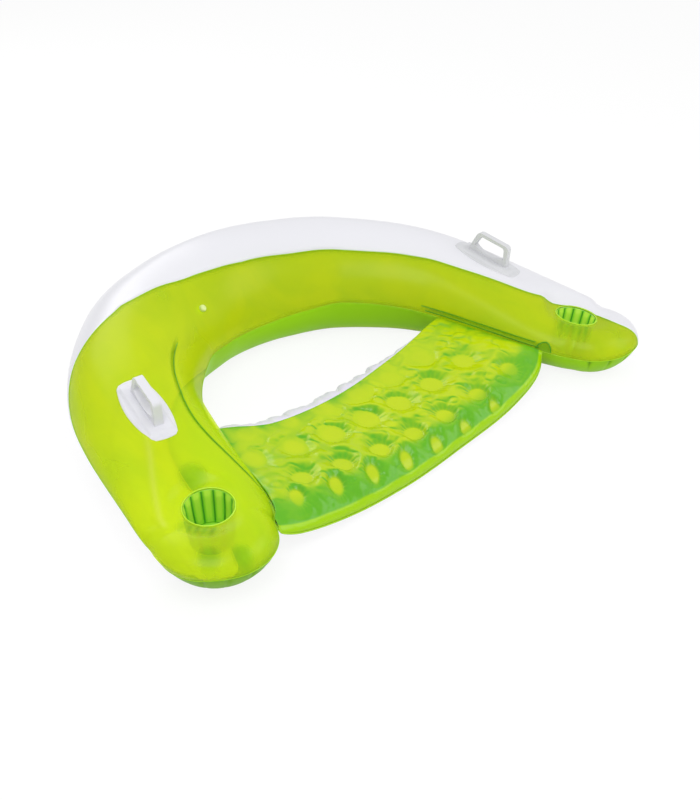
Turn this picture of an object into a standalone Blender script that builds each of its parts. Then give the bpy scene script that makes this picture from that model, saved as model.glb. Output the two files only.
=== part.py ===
# Inflatable pool chair: a U shaped air ring with two cup wells and two grips, and a dimpled seat.
# Metres, +Z up, +X across the arms, arm tips towards -Y.
# The origin is at the middle of the bounding box, on the floor.
import math

import bmesh
import bpy
from mathutils import Matrix, Vector

# Centre line of the ring, from the middle of the back to the middle of each tip
HALF_SPAN = 0.629
LINE_DEPTH = 0.732
CENTRE_FORWARD = 0.3756
# Tube of the ring
TUBE_HALF_WIDTH = 0.150
BACK_HEIGHT = 0.300
CREASE_HEIGHT = 0.110
WIDEST_HEIGHT = 0.160
# Film, welds and clearances
FILM = 0.0015
GAP = 0.0003
SEAM_GAP = 0.0009
WELD_RADIUS = 0.0020
CUT_OVERRUN = 0.020
MERGE_NEAR = 0.0003
MERGE_SAME = 0.00001
# Cup wells, placed by shares of the half span, the line's depth and the back's height
CUP_ACROSS_SHARE = 0.976
CUP_INSET_SHARE = 0.0437
CUP_MOUTH_HEIGHT_SHARE = 0.43
CUP_MOUTH_RADIUS = 0.054
CUP_FLOOR_RADIUS = 0.045
CUP_DEPTH = 0.088
CUP_LEAN_OUT = math.radians(6.4)
CUP_LEAN_FORWARD = math.radians(4.7)
CUP_PLEATS = 12
CUP_PLEAT_DEPTH = 0.0022
CUP_RIM_WIDTH = 0.006
CUP_RIM_HEIGHT = 0.004
CUP_FLOOR_THICKNESS = 0.002
CUP_DISH_WIDTH = 0.045
CUP_DISH_REACH = 0.050
# Grips and their welded patches
PATCH_LENGTH = 0.194
PATCH_MIDDLE_WIDTH = 0.094
PATCH_END_WIDTH = 0.064
PATCH_THICKNESS = 0.0022
PLINTH_LENGTH = 0.148
PLINTH_WIDTH = 0.050
PLINTH_HEIGHT = 0.0052
PLINTH_SLOPE = 0.007
GRIP_FOOT_LENGTH = 0.120
GRIP_TOP_LENGTH = 0.100
GRIP_HEIGHT = 0.056
GRIP_WIDTH = 0.021
GRIP_BAR = 0.0090
GRIP_LEG = 0.0110
GRIP_WEB = 0.013
GRIP_WEB_DIP = 0.007
GRIP_CORNER = 0.013
GRIP_EDGE = 0.0015
HANDLE_TRAVEL_SHARE = 0.674
HANDLE_OFFSET_LEFT = 0.004
HANDLE_OFFSET_RIGHT = 0.022
# Seat, whose edges lie this far forward of the origin
SEAT_REAR = 0.152
SEAT_FRONT = 0.460
SEAT_SAG = 0.026
SEAT_CROWN = 0.010
SEAT_DROP = 0.045
SEAT_FRONT_SEAM_DROP = 0.034
SEAT_REAR_SEAM_RISE = 0.004
SEAT_REAR_BULGE = 0.046
JOIN_RADIUS = 0.0030
CREASE_PACE = 0.010
SEAT_TRAVEL_START_SHARE = 0.50
DISC_RADIUS = 0.027
DISC_DEPTH = 0.016
DISC_ROW_BOW = 0.056
DISC_ROW_FORWARD = (0.172, 0.262, 0.370, 0.424)
DISC_ROW_COUNT = (6, 7, 7, 7)
# Middle of each row, distance between its discs and how much they draw apart to the right,
# by share of the half span
DISC_ROW_MIDDLE_SHARES = (-0.124, -0.124, -0.056, -0.183)
DISC_ROW_PITCH_SHARES = (0.172, 0.172, 0.172, 0.159)
DISC_ROW_DRIFT_SHARE = 0.40
# How far forward the seat's edges lie from its left end at -1 to its right end at 1,
# by share of SEAT_REAR and SEAT_FRONT
SEAT_REAR_SHARES = ((-1.0, 0.605), (-0.9, 0.72), (-0.8, 0.87), (-0.7, 0.965), (-0.5, 1.0), (-0.25, 0.98),
                    (0.0, 0.91), (0.25, 0.80), (0.5, 0.69), (0.7, 0.585), (0.85, 0.495), (1.0, 0.44))
SEAT_FRONT_SHARES = ((-1.0, 0.957), (-0.9, 0.98), (-0.6, 1.0), (-0.35, 0.995), (-0.1, 0.98), (0.1, 0.96),
                     (0.45, 0.93), (0.67, 0.895), (0.82, 0.86), (0.92, 0.82), (1.0, 0.766))
# Air valves
VALVE_BORE = 0.0040
VALVE_STEM_RADIUS = 0.0068
VALVE_STEM_LENGTH = 0.0228
VALVE_RISE = 0.0035
VALVE_LIP_RADIUS = 0.0090
VALVE_LIP_THICKNESS = 0.0014
VALVE_COLLAR_RADIUS = 0.0092
VALVE_FLANGE_RADIUS = 0.0125
VALVE_NECK = 0.0042
VALVE_FLANGE_THICKNESS = 0.0016
VALVE_STOP_RADIUS = 0.0082
VALVE_STOP_THICKNESS = 0.0012
VALVE_PLUG_RADIUS = 0.0078
VALVE_PLUG_THICKNESS = 0.0016
VALVE_STUB_RADIUS = 0.0031
VALVE_STUB_LENGTH = 0.0036
VALVE_STRAP_WIDTH = 0.0044
VALVE_HINGE_RADIUS = 0.0104
VALVE_FLAP_RADIUS = 0.0054
VALVE_FLAP_THICKNESS = 0.0008
RING_VALVE_TRAVEL_SHARE = -0.281
RING_VALVE_ACROSS_SHARE = 0.41
SEAT_VALVE_ACROSS_SHARE = 0.43
SEAT_VALVE_PLACE_SHARE = 0.70

# Shares along the ring, from the middle of the back to the tip, of the sizes above: across, along, width,
# crest height, crease height, widest height, crest offset, fullness outside, undercut, foot width
STATION_SHARES = (
    (0.000, 1.004, 0.97, 1.00, 0.91, 1.18, 0.36, 0.55, 0.0, 0.42),
    (0.264, 0.980, 1.07, 0.96, 1.01, 1.03, 0.34, 0.55, 0.0, 0.42),
    (0.531, 0.874, 1.09, 0.915, 1.09, 0.88, 0.28, 0.55, 0.4, 0.42),
    (0.798, 0.593, 1.02, 0.82, 0.93, 0.78, 0.16, 0.58, 1.0, 0.42),
    (0.960, 0.111, 0.99, 0.50, 0.73, 0.69, -0.13, 0.68, 1.0, 0.35),
    (1.000, 0.000, 0.87, 0.427, 0.64, 0.53, -0.37, 0.75, 1.0, 0.35),
)
# Where the colour seam crosses a section, by share of travel from the middle of the back: 0 is the inner
# crease, 1 the crest and 2 the widest line outside
SEAM_LEFT_SHARES = ((0.00, 0.58), (0.12, 0.64), (0.25, 0.73), (0.38, 0.88), (0.46, 1.03), (0.512, 1.26),
                    (0.545, 1.46), (0.565, 1.66), (0.62, 1.90), (0.70, 1.985), (0.80, 2.00), (1.00, 2.00))
SEAM_RIGHT_SHARES = ((0.00, 0.58), (0.17, 0.56), (0.36, 0.56), (0.475, 0.59), (0.57, 0.62), (0.65, 0.68),
                     (0.705, 0.79), (0.75, 0.99), (0.80, 1.26), (0.88, 1.37), (1.00, 1.40))
# The same seam round the right tip, by share of the half turn from the outer side to the inner side
SEAM_TIP_SHARES = ((0.00, 1.40), (0.12, 1.45), (0.24, 1.57), (0.33, 1.74), (0.40, 1.92), (0.43, 2.00))
TIP_SEAM_END_SHARE = 0.43

BACK_ROWS = 12
ARM_ROWS = 7
ARM_START_SHARE = 0.70
TIP_OUTER_STEPS = 4
TIP_INNER_STEPS = 6
WALL_STEPS = 3
TOP_STEPS = 4
OUTER_UPPER_STEPS = 3
OUTER_LOWER_STEPS = 4
OUTER_SPLIT_SHARE = 0.30
BOTTOM_STEPS = 2
SEAT_STEPS_ACROSS = 32
SEAT_STEPS_ALONG = 16
SEAT_BULGE_STEPS = 4
ROUND_STEPS = 16
FINE_STEPS = 24

MARGIN = WELD_RADIUS + SEAM_GAP
FLOOR_MARGIN = WELD_RADIUS + SEAM_GAP / 2.0
# Turns round a tip from its outer side to its inner side, the first run ending where the right seam does
TIP_TURNS = [TIP_SEAM_END_SHARE * k / TIP_OUTER_STEPS for k in range(TIP_OUTER_STEPS)]
TIP_TURNS += [TIP_SEAM_END_SHARE + (1.0 - TIP_SEAM_END_SHARE) * k / TIP_INNER_STEPS
              for k in range(TIP_INNER_STEPS + 1)]

LIME = (0.47, 0.66, 0.02, 1.0)
DEEP_GREEN = (0.23, 0.56, 0.05, 1.0)
WHITE = (0.86, 0.86, 0.87, 1.0)
PALE_GREY = (0.62, 0.62, 0.63, 1.0)
CLEAR_WHITE = (0.78, 0.80, 0.78, 1.0)


def clear_scene():
    for item in list(bpy.data.objects):
        bpy.data.objects.remove(item, do_unlink=True)


def new_collection(name):
    collection = bpy.data.collections.new(name)
    bpy.context.scene.collection.children.link(collection)
    return collection


def new_material(name, colour, roughness):
    material = bpy.data.materials.new(name)
    material.use_nodes = True
    shader = material.node_tree.nodes["Principled BSDF"]
    shader.inputs["Base Color"].default_value = colour
    shader.inputs["Roughness"].default_value = roughness
    shader.inputs["Metallic"].default_value = 0.0
    material.diffuse_color = colour
    return material


def clamp(value, low, high):
    return max(low, min(high, value))


def mix(first, second, share):
    return first + (second - first) * share


def ease(share):
    share = clamp(share, 0.0, 1.0)
    return share * share * (3.0 - 2.0 * share)


def read_table(table, place):
    """Reads a table of (place, value) rows on straight lines between its rows."""
    for (place_a, value_a), (place_b, value_b) in zip(table, table[1:]):
        if place <= place_b:
            return mix(value_a, value_b, clamp((place - place_a) / (place_b - place_a), 0.0, 1.0))
    return table[-1][1]


def read_smooth(table, place):
    """Reads a table of (place, value) rows on a curve through its rows."""
    last = len(table) - 1
    index = max(k for k in range(last) if place >= table[k][0] or k == 0)
    (place_a, value_a), (place_b, value_b) = table[index], table[index + 1]

    def slope(k):
        low, high = table[max(k - 1, 0)], table[min(k + 1, last)]
        return (high[1] - low[1]) / (high[0] - low[0])

    run = place_b - place_a
    share = (place - place_a) / run
    cube, square = share ** 3, share ** 2
    return ((2 * cube - 3 * square + 1) * value_a + (cube - 2 * square + share) * run * slope(index)
            + (3 * square - 2 * cube) * value_b + (cube - square) * run * slope(index + 1))


def bezier(points, share):
    a, b, c, d = points
    rest = 1.0 - share
    weights = (rest ** 3, 3.0 * rest * rest * share, 3.0 * rest * share * share, share ** 3)
    return tuple(weights[0] * a[k] + weights[1] * b[k] + weights[2] * c[k] + weights[3] * d[k] for k in (0, 1))


# The ring's surface


def station(travel):
    """Sizes of the ring's section at a share of travel, from the middle of the back to a tip's middle."""
    last = len(STATION_SHARES) - 1
    place = clamp(travel, 0.0, 1.0) * last
    index = min(int(place), last - 1)
    share = place - index

    def slope(column, row):
        if row == 0:
            return STATION_SHARES[1][0] if column == 0 else 0.0
        if row == last:
            return STATION_SHARES[last][column] - STATION_SHARES[last - 1][column]
        return (STATION_SHARES[row + 1][column] - STATION_SHARES[row - 1][column]) / 2.0

    def read(column):
        start, end = STATION_SHARES[index][column], STATION_SHARES[index + 1][column]
        cube, square = share ** 3, share ** 2
        return ((2 * cube - 3 * square + 1) * start + (cube - 2 * square + share) * slope(column, index)
                + (3 * square - 2 * cube) * end + (cube - square) * slope(column, index + 1))

    width = read(2) * TUBE_HALF_WIDTH
    return {
        "middle": Vector((read(0) * HALF_SPAN, read(1) * LINE_DEPTH - CENTRE_FORWARD, 0.0)),
        "width": width,
        "crest": read(3) * BACK_HEIGHT,
        "crease": read(4) * CREASE_HEIGHT,
        "widest": read(5) * WIDEST_HEIGHT,
        "offset": read(6) * width,
        "full": read(7),
        "undercut": read(8),
        "foot": read(9) * width,
    }


def heading(travel):
    """Unit direction of the centre line and its outward normal on the right side."""
    step = 0.002
    low, high = max(travel - step, 0.0), min(travel + step, 1.0)
    along = (station(high)["middle"] - station(low)["middle"]).normalized()
    if travel <= step:
        along = Vector((1.0, 0.0, 0.0))
    return along, Vector((-along.y, along.x, 0.0))


def section_curves(sizes):
    """Curves of (across, height): crease to crest, to widest, to foot, and inner foot to crease."""
    width, crest, crease, widest = sizes["width"], sizes["crest"], sizes["crease"], sizes["widest"]
    offset, full, undercut, foot = sizes["offset"], sizes["full"], sizes["undercut"], sizes["foot"]
    reach = offset + width
    inner_top = ((-width, crease), (-0.94 * width, crease + 0.62 * (crest - crease)),
                 (offset - 0.60 * reach * (0.75 + 0.45 * full), crest), (offset, crest))
    outer_top = ((offset, crest), (offset + full * (width - offset), crest),
                 (width, widest + full * (crest - widest)), (width, widest))
    slack = 1.0 - undercut
    outer_under = ((width, widest), (width * (1.0 - 0.16 * undercut), widest * (0.45 + 0.05 * undercut)),
                   (foot + (0.30 + 0.25 * slack) * (width - foot), 0.0), (foot, 0.0))
    inner_under = ((-foot, 0.0), (-foot - 0.35 * (width - foot), 0.0),
                   (-width * (1.0 - 0.10 * undercut), crease * 0.45), (-width, crease))
    return inner_top, outer_top, outer_under, inner_under


def section_flat(sizes, place):
    """Point of a section: 0 crease, 1 crest, 2 widest, 3 outer foot, 4 inner foot, 5 crease again."""
    inner_top, outer_top, outer_under, inner_under = section_curves(sizes)
    if place <= 1.0:
        return bezier(inner_top, place)
    if place <= 2.0:
        return bezier(outer_top, place - 1.0)
    if place <= 3.0:
        return bezier(outer_under, place - 2.0)
    if place <= 4.0:
        return (mix(sizes["foot"], -sizes["foot"], place - 3.0), 0.0)
    return bezier(inner_under, place - 4.0)


def mirrored(point, side):
    return Vector((point.x * side, point.y, point.z))


def ring_point(travel, place):
    """Point of the ring's outer surface. Travel is negative on the left side."""
    side = -1.0 if travel < 0.0 else 1.0
    sizes = station(abs(travel))
    outward = heading(abs(travel))[1]
    across, height = section_flat(sizes, place)
    point = sizes["middle"] + outward * across
    point.z = height
    return mirrored(point, side)


def tip_point(side, turn, place):
    """Point of a tip: turn goes from 0 outside to 1 inside, place from 1 crest to 2 edge and on to 3 foot."""
    sizes = station(1.0)
    along, outward = heading(1.0)
    inner_top, outer_top, outer_under, inner_under = section_curves(sizes)
    angle = math.pi * turn
    blend = (1.0 - math.cos(angle)) / 2.0
    direction = outward * math.cos(angle) + along * math.sin(angle)
    edge = direction * sizes["width"]
    if place <= 2.0:
        outer = bezier(outer_top, place - 1.0)
        inner = bezier(inner_top, 2.0 - place)
        reach_outer = (outer[0] - sizes["offset"]) / (sizes["width"] - sizes["offset"])
        reach_inner = (sizes["offset"] - inner[0]) / (sizes["width"] + sizes["offset"])
        pole = outward * sizes["offset"]
        plan = pole + (edge - pole) * mix(reach_outer, reach_inner, blend)
    elif place <= 3.0:
        outer = bezier(outer_under, place - 2.0)
        inner = bezier(inner_under, 3.0 - place)
        plan = edge * mix(outer[0], -inner[0], blend) / sizes["width"]
    else:
        outer = inner = (0.0, 0.0)
        plan = direction * sizes["foot"] * (4.0 - place)
    point = sizes["middle"] + plan
    point.z = mix(outer[1], inner[1], blend)
    return mirrored(point, side)


def seam_place(travel):
    return read_table(SEAM_LEFT_SHARES if travel < 0.0 else SEAM_RIGHT_SHARES, abs(travel))


def tip_seam_place(side, turn):
    return read_table(SEAM_TIP_SHARES, turn) if side > 0.0 else 2.0


def cup_frame(side):
    """Placement of a cup well: origin at the mouth's middle, +Z out along its axis."""
    lean = Matrix.Rotation(side * CUP_LEAN_OUT, 4, "Y") @ Matrix.Rotation(CUP_LEAN_FORWARD, 4, "X")
    forward = CENTRE_FORWARD - CUP_INSET_SHARE * LINE_DEPTH
    place = (side * CUP_ACROSS_SHARE * HALF_SPAN, -forward, CUP_MOUTH_HEIGHT_SHARE * BACK_HEIGHT)
    return Matrix.Translation(place) @ lean


def dish(point):
    """Draws the film round a cup's mouth onto the mouth's plane."""
    side = -1.0 if point.x < 0.0 else 1.0
    frame = cup_frame(side)
    local = frame.inverted() @ point
    if local.z < -CUP_DISH_REACH:
        return point
    hole = CUP_MOUTH_RADIUS + CUP_RIM_WIDTH
    share = ease((math.hypot(local.x, local.y) - hole - MARGIN) / CUP_DISH_WIDTH)
    local.z = mix(0.0, local.z, share)
    return frame @ local


# Rows of points trimmed at the welds


def trimmed(points, start, end, steps):
    """Cuts a length off each end of a row of points and spaces the rest evenly."""
    lengths = [0.0]
    for a, b in zip(points, points[1:]):
        lengths.append(lengths[-1] + (b - a).length)
    result = []
    for step in range(steps + 1):
        wanted = mix(start, lengths[-1] - end, step / steps)
        index = 0
        while index < len(points) - 2 and lengths[index + 1] < wanted:
            index += 1
        run = lengths[index + 1] - lengths[index]
        share = clamp((wanted - lengths[index]) / run, 0.0, 1.0) if run else 0.0
        result.append(points[index].lerp(points[index + 1], share))
    return result


def row(reader, first, last, start, end, steps):
    points = [reader(mix(first, last, k / FINE_STEPS)) for k in range(FINE_STEPS + 1)]
    return trimmed(points, start, end, steps)


def slanted_margin(line_step, row_step):
    """Length to trim off a row that meets a weld at a slant, so that its end stays clear of the weld."""
    slant = line_step.normalized().cross(row_step.normalized()).length
    return MARGIN / max(slant, 0.4)


def ring_margin(travel, line):
    step = 0.01
    along = ring_point(travel + step, line(travel + step)) - ring_point(travel - step, line(travel - step))
    place = line(travel)
    return slanted_margin(along, ring_point(travel, place + step) - ring_point(travel, place - step))


def tip_margin(side, turn):
    step = 0.01
    low, high = max(turn - step, 0.0), min(turn + step, 1.0)
    along = tip_point(side, high, tip_seam_place(side, high)) - tip_point(side, low, tip_seam_place(side, low))
    place = tip_seam_place(side, turn)
    return slanted_margin(along, tip_point(side, turn, place) - tip_point(side, turn, place - step))


def crease_place(travel):
    return 0.0


def outer_foot_place(travel):
    return 3.0


def inner_foot_place(travel):
    return 4.0


def travel_rows():
    """Travel of each row of the ring, closer together along the arms."""
    right = [mix(0.0, ARM_START_SHARE, k / BACK_ROWS) for k in range(1, BACK_ROWS)]
    right += [mix(ARM_START_SHARE, 1.0, k / ARM_ROWS) for k in range(ARM_ROWS + 1)]
    return [-travel for travel in reversed(right)] + [0.0] + right


def half_row(reader, first, middle, last, start, end):
    """A row in two runs that meet at the crest, or evenly where the row stops before the crest."""
    inner = row(reader, first, middle, start, 0.0, TOP_STEPS)
    outer = row(reader, middle, last, 0.0, end, TOP_STEPS)
    return inner + outer[1:]


def grid_faces(rows, offset=0):
    """Faces of a grid of rows of equal length."""
    count = len(rows[0])
    faces = []
    for r in range(len(rows) - 1):
        for c in range(count - 1):
            a = offset + r * count + c
            faces.append((a, a + 1, a + count + 1, a + count))
    return faces


def mesh_object(name, points, faces, material, collection, weld=0.0):
    mesh = bpy.data.meshes.new(name)
    mesh.from_pydata([tuple(point) for point in points], [], faces)
    work = bmesh.new()
    work.from_mesh(mesh)
    if weld:
        bmesh.ops.remove_doubles(work, verts=work.verts, dist=weld)
        bmesh.ops.dissolve_degenerate(work, edges=work.edges, dist=weld)
    bmesh.ops.recalc_face_normals(work, faces=work.faces)
    work.to_mesh(mesh)
    work.free()
    mesh.materials.append(material)
    mesh.shade_smooth()
    mesh.set_sharp_from_angle(angle=math.radians(40.0))
    item = bpy.data.objects.new(name, mesh)
    collection.objects.link(item)
    return item


def face_along(item, point_near, direction):
    """Turns an open surface over if its face nearest a point doesn't face along a direction."""
    mesh = item.data
    nearest = min(mesh.polygons, key=lambda polygon: (Vector(polygon.center) - point_near).length)
    if nearest.normal.dot(direction) < 0.0:
        mesh.flip_normals()


def thicken(item, thickness, outward):
    modifier = item.modifiers.new("Film", "SOLIDIFY")
    modifier.thickness = thickness
    modifier.offset = 1.0 if outward else -1.0
    modifier.use_rim = True


def cut(item, cutter):
    modifier = item.modifiers.new("Cut", "BOOLEAN")
    modifier.operation = "DIFFERENCE"
    modifier.solver = "EXACT"
    modifier.object = cutter


def round_cutter(name, frame, radius, low, high, cutters):
    """Cylinder along a frame's own Z, for holes."""
    mesh = bpy.data.meshes.new(name)
    work = bmesh.new()
    outside = radius / math.cos(math.pi / (2 * ROUND_STEPS))
    bmesh.ops.create_cone(work, cap_ends=True, segments=2 * ROUND_STEPS, radius1=outside, radius2=outside,
                          depth=high - low)
    bmesh.ops.translate(work, verts=work.verts, vec=(0.0, 0.0, (high + low) / 2.0))
    work.to_mesh(mesh)
    work.free()
    item = bpy.data.objects.new(name, mesh)
    item.matrix_world = frame
    item.hide_render = True
    item.display_type = "WIRE"
    cutters.objects.link(item)
    return item


def tube(name, points, radius, closed, material, collection):
    """Round weld or rod along a line of points."""
    curve = bpy.data.curves.new(name, "CURVE")
    curve.dimensions = "3D"
    curve.bevel_depth = radius
    curve.bevel_resolution = 1
    curve.use_fill_caps = True
    spline = curve.splines.new("POLY")
    spline.points.add(len(points) - 1)
    for target, point in zip(spline.points, points):
        target.co = (point.x, point.y, point.z, 1.0)
    spline.use_cyclic_u = closed
    curve.materials.append(material)
    item = bpy.data.objects.new(name, curve)
    collection.objects.link(item)
    return item


def turned(name, profile, steps, material, collection, frame):
    """Solid of revolution round Z from a closed or axis-to-axis profile of (radius, height), top to bottom."""
    mesh = bpy.data.meshes.new(name)
    edges = [(k, k + 1) for k in range(len(profile) - 1)]
    mesh.from_pydata([(radius, 0.0, height) for radius, height in profile], edges, [])
    mesh.materials.append(material)
    item = bpy.data.objects.new(name, mesh)
    collection.objects.link(item)
    item.matrix_world = frame
    modifier = item.modifiers.new("Turn", "SCREW")
    modifier.steps = steps
    modifier.render_steps = steps
    modifier.use_merge_vertices = True
    modifier.merge_threshold = MERGE_SAME
    modifier.use_smooth_shade = False
    return item


# Panels of the ring


def refine_round_cups(item):
    """Halves the film's edges near the cup wells, then draws the film onto their mouths."""
    reach = CUP_MOUTH_RADIUS + CUP_RIM_WIDTH + MARGIN + CUP_DISH_WIDTH
    inverses = [cup_frame(side).inverted() for side in (-1.0, 1.0)]
    work = bmesh.new()
    work.from_mesh(item.data)
    near = []
    for edge in work.edges:
        middle = (edge.verts[0].co + edge.verts[1].co) / 2.0
        distance = min(math.hypot(*(inverse @ middle).xy) for inverse in inverses)
        if distance < reach and not edge.is_boundary:
            near.append(edge)
    bmesh.ops.subdivide_edges(work, edges=near, cuts=1, use_grid_fill=True)
    for vert in work.verts:
        vert.co = dish(vert.co.copy())
    work.to_mesh(item.data)
    work.free()


def make_top_panel(parts, cutters, material):
    """Green film on top: inner crease to the colour seam, and round both tips."""
    rows = []
    for travel in travel_rows():
        seam = seam_place(travel)
        near_tip = ease((abs(travel) - 0.72) / 0.20)
        start, end = ring_margin(travel, crease_place), ring_margin(travel, seam_place)
        whole = row(lambda place: ring_point(travel, place), 0.0, seam, start, end, 2 * TOP_STEPS)
        if near_tip > 0.0:
            split = half_row(lambda place: ring_point(travel, place), 0.0, min(1.0, seam), seam, start, end)
            whole = [a.lerp(b, near_tip) for a, b in zip(whole, split)]
        rows.append(whole)
    points = [point for line in rows for point in line]
    faces = grid_faces(rows)
    for side in (-1.0, 1.0):
        end = rows[-1] if side > 0.0 else rows[0]
        fan = [row(lambda place: tip_point(side, turn, place), 1.0, tip_seam_place(side, turn), 0.0,
                   tip_margin(side, turn), TOP_STEPS) for turn in TIP_TURNS[1:-1]]
        fan = [end[TOP_STEPS:]] + fan + [end[TOP_STEPS::-1]]
        offset = len(points)
        points += [point for line in fan for point in line]
        faces += grid_faces(fan, offset)
    item = mesh_object("ring_top_panel", points, faces, material, parts, weld=MERGE_NEAR)
    refine_round_cups(item)
    face_along(item, ring_point(0.0, 0.5), Vector((0.0, -0.5, 1.0)))
    thicken(item, FILM, outward=False)
    for side, name in ((-1.0, "left"), (1.0, "right")):
        hole = CUP_MOUTH_RADIUS + CUP_RIM_WIDTH + GAP
        cut(item, round_cutter("cup_hole_" + name, cup_frame(side), hole, -CUT_OVERRUN, CUT_OVERRUN, cutters))
    hole = VALVE_COLLAR_RADIUS + GAP
    cut(item, round_cutter("valve_hole_ring", ring_valve_frame(), hole, -CUT_OVERRUN, CUT_OVERRUN, cutters))
    return item


def outer_row(reader, seam, start, end):
    """Row of the outer panel in two runs that meet at the widest line or below it."""
    split = max(2.0, mix(seam, 3.0, OUTER_SPLIT_SHARE))
    upper = row(reader, seam, split, start, 0.0, OUTER_UPPER_STEPS)
    lower = row(reader, split, 3.0, 0.0, end, OUTER_LOWER_STEPS)
    return upper + lower[1:]


def make_outer_panel(parts, material):
    """White film outside: colour seam down to the floor weld, from the left tip to the right tip."""
    rows = []
    for travel in travel_rows():
        rows.append(outer_row(lambda place: ring_point(travel, place), seam_place(travel),
                              ring_margin(travel, seam_place), ring_margin(travel, outer_foot_place)))
    for turn in TIP_TURNS[1:TIP_OUTER_STEPS + 1]:
        rows.append(outer_row(lambda place: tip_point(1.0, turn, place), tip_seam_place(1.0, turn),
                              tip_margin(1.0, turn), MARGIN))
    points = [dish(point) for line in rows for point in line]
    item = mesh_object("ring_outer_panel", points, grid_faces(rows), material, parts)
    face_along(item, ring_point(0.0, 2.0), Vector((0.0, 1.0, 0.0)))
    thicken(item, FILM, outward=False)
    return item


def wall_turns(side):
    """Turns of the green wall round a tip, from its end beside the white panel to the inner side."""
    first = TIP_OUTER_STEPS if side > 0.0 else 0
    half_circle = math.pi * station(1.0)["foot"]
    return [TIP_TURNS[first] + (GAP + FILM) / half_circle] + TIP_TURNS[first + 1:]


def make_inner_wall(parts, material):
    """Green film below the crease: round the left tip, along the inside and round the right tip."""
    rows = []
    for turn in wall_turns(-1.0)[:-1]:
        rows.append(row(lambda place: tip_point(-1.0, turn, place), 2.0, 3.0, MARGIN, MARGIN, WALL_STEPS))
    for travel in travel_rows():
        rows.append(row(lambda place: ring_point(travel, place), 5.0, 4.0, ring_margin(travel, crease_place),
                        ring_margin(travel, inner_foot_place), WALL_STEPS))
    for turn in reversed(wall_turns(1.0)[:-1]):
        rows.append(row(lambda place: tip_point(1.0, turn, place), 2.0, 3.0, MARGIN, MARGIN, WALL_STEPS))
    points = [point for line in rows for point in line]
    item = mesh_object("ring_inner_wall", points, grid_faces(rows), material, parts)
    face_along(item, ring_point(0.0, 4.9), Vector((0.0, -1.0, 0.0)))
    thicken(item, FILM, outward=False)
    return item


def make_bottom_panel(parts, material):
    """White film on the floor: outer foot to inner foot, with a round end under each tip."""
    rows = [row(lambda place: ring_point(travel, place), 3.0, 4.0, FLOOR_MARGIN, FLOOR_MARGIN, 2 * BOTTOM_STEPS)
            for travel in travel_rows()]
    points = [point for line in rows for point in line]
    faces = grid_faces(rows)
    for side in (-1.0, 1.0):
        end = rows[-1] if side > 0.0 else rows[0]
        pole = end[BOTTOM_STEPS]
        fan = [end[:BOTTOM_STEPS + 1]]
        for turn in TIP_TURNS[1:-1]:
            edge = row(lambda place: tip_point(side, turn, place), 3.0, 4.0, FLOOR_MARGIN, 0.0, 1)[0]
            fan.append([edge.lerp(pole, k / BOTTOM_STEPS) for k in range(BOTTOM_STEPS + 1)])
        fan.append(end[:BOTTOM_STEPS - 1:-1])
        offset = len(points)
        points += [point for line in fan for point in line]
        faces += grid_faces(fan, offset)
    item = mesh_object("ring_bottom_panel", points, faces, material, parts, weld=MERGE_NEAR)
    face_along(item, ring_point(0.0, 3.5), Vector((0.0, 0.0, -1.0)))
    thicken(item, FILM, outward=False)
    return item


def make_top_weld(parts, material):
    """Weld bead round the whole top panel: the crease, both tips and the colour seam."""
    travels = travel_rows()
    line = [ring_point(travel, 0.0) for travel in travels]
    line += [tip_point(1.0, turn, 2.0) for turn in TIP_TURNS[-2:TIP_OUTER_STEPS:-1]]
    line += [tip_point(1.0, turn, tip_seam_place(1.0, turn)) for turn in TIP_TURNS[TIP_OUTER_STEPS:0:-1]]
    line += [ring_point(travel, seam_place(travel)) for travel in reversed(travels)]
    line += [tip_point(-1.0, turn, 2.0) for turn in TIP_TURNS[1:-1]]
    return tube("ring_top_weld", [dish(point) for point in line], WELD_RADIUS, True, material, parts)


def make_floor_weld(parts, material):
    """Weld bead round the whole bottom panel, lying on the floor."""
    travels = travel_rows()
    line = [ring_point(travel, 4.0) for travel in travels]
    line += [tip_point(1.0, turn, 3.0) for turn in TIP_TURNS[-2:0:-1]]
    line += [ring_point(travel, 3.0) for travel in reversed(travels)]
    line += [tip_point(-1.0, turn, 3.0) for turn in TIP_TURNS[1:-1]]
    raised = [point + Vector((0.0, 0.0, WELD_RADIUS)) for point in line]
    return tube("ring_floor_weld", raised, WELD_RADIUS, True, material, parts)


# Cup wells


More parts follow.
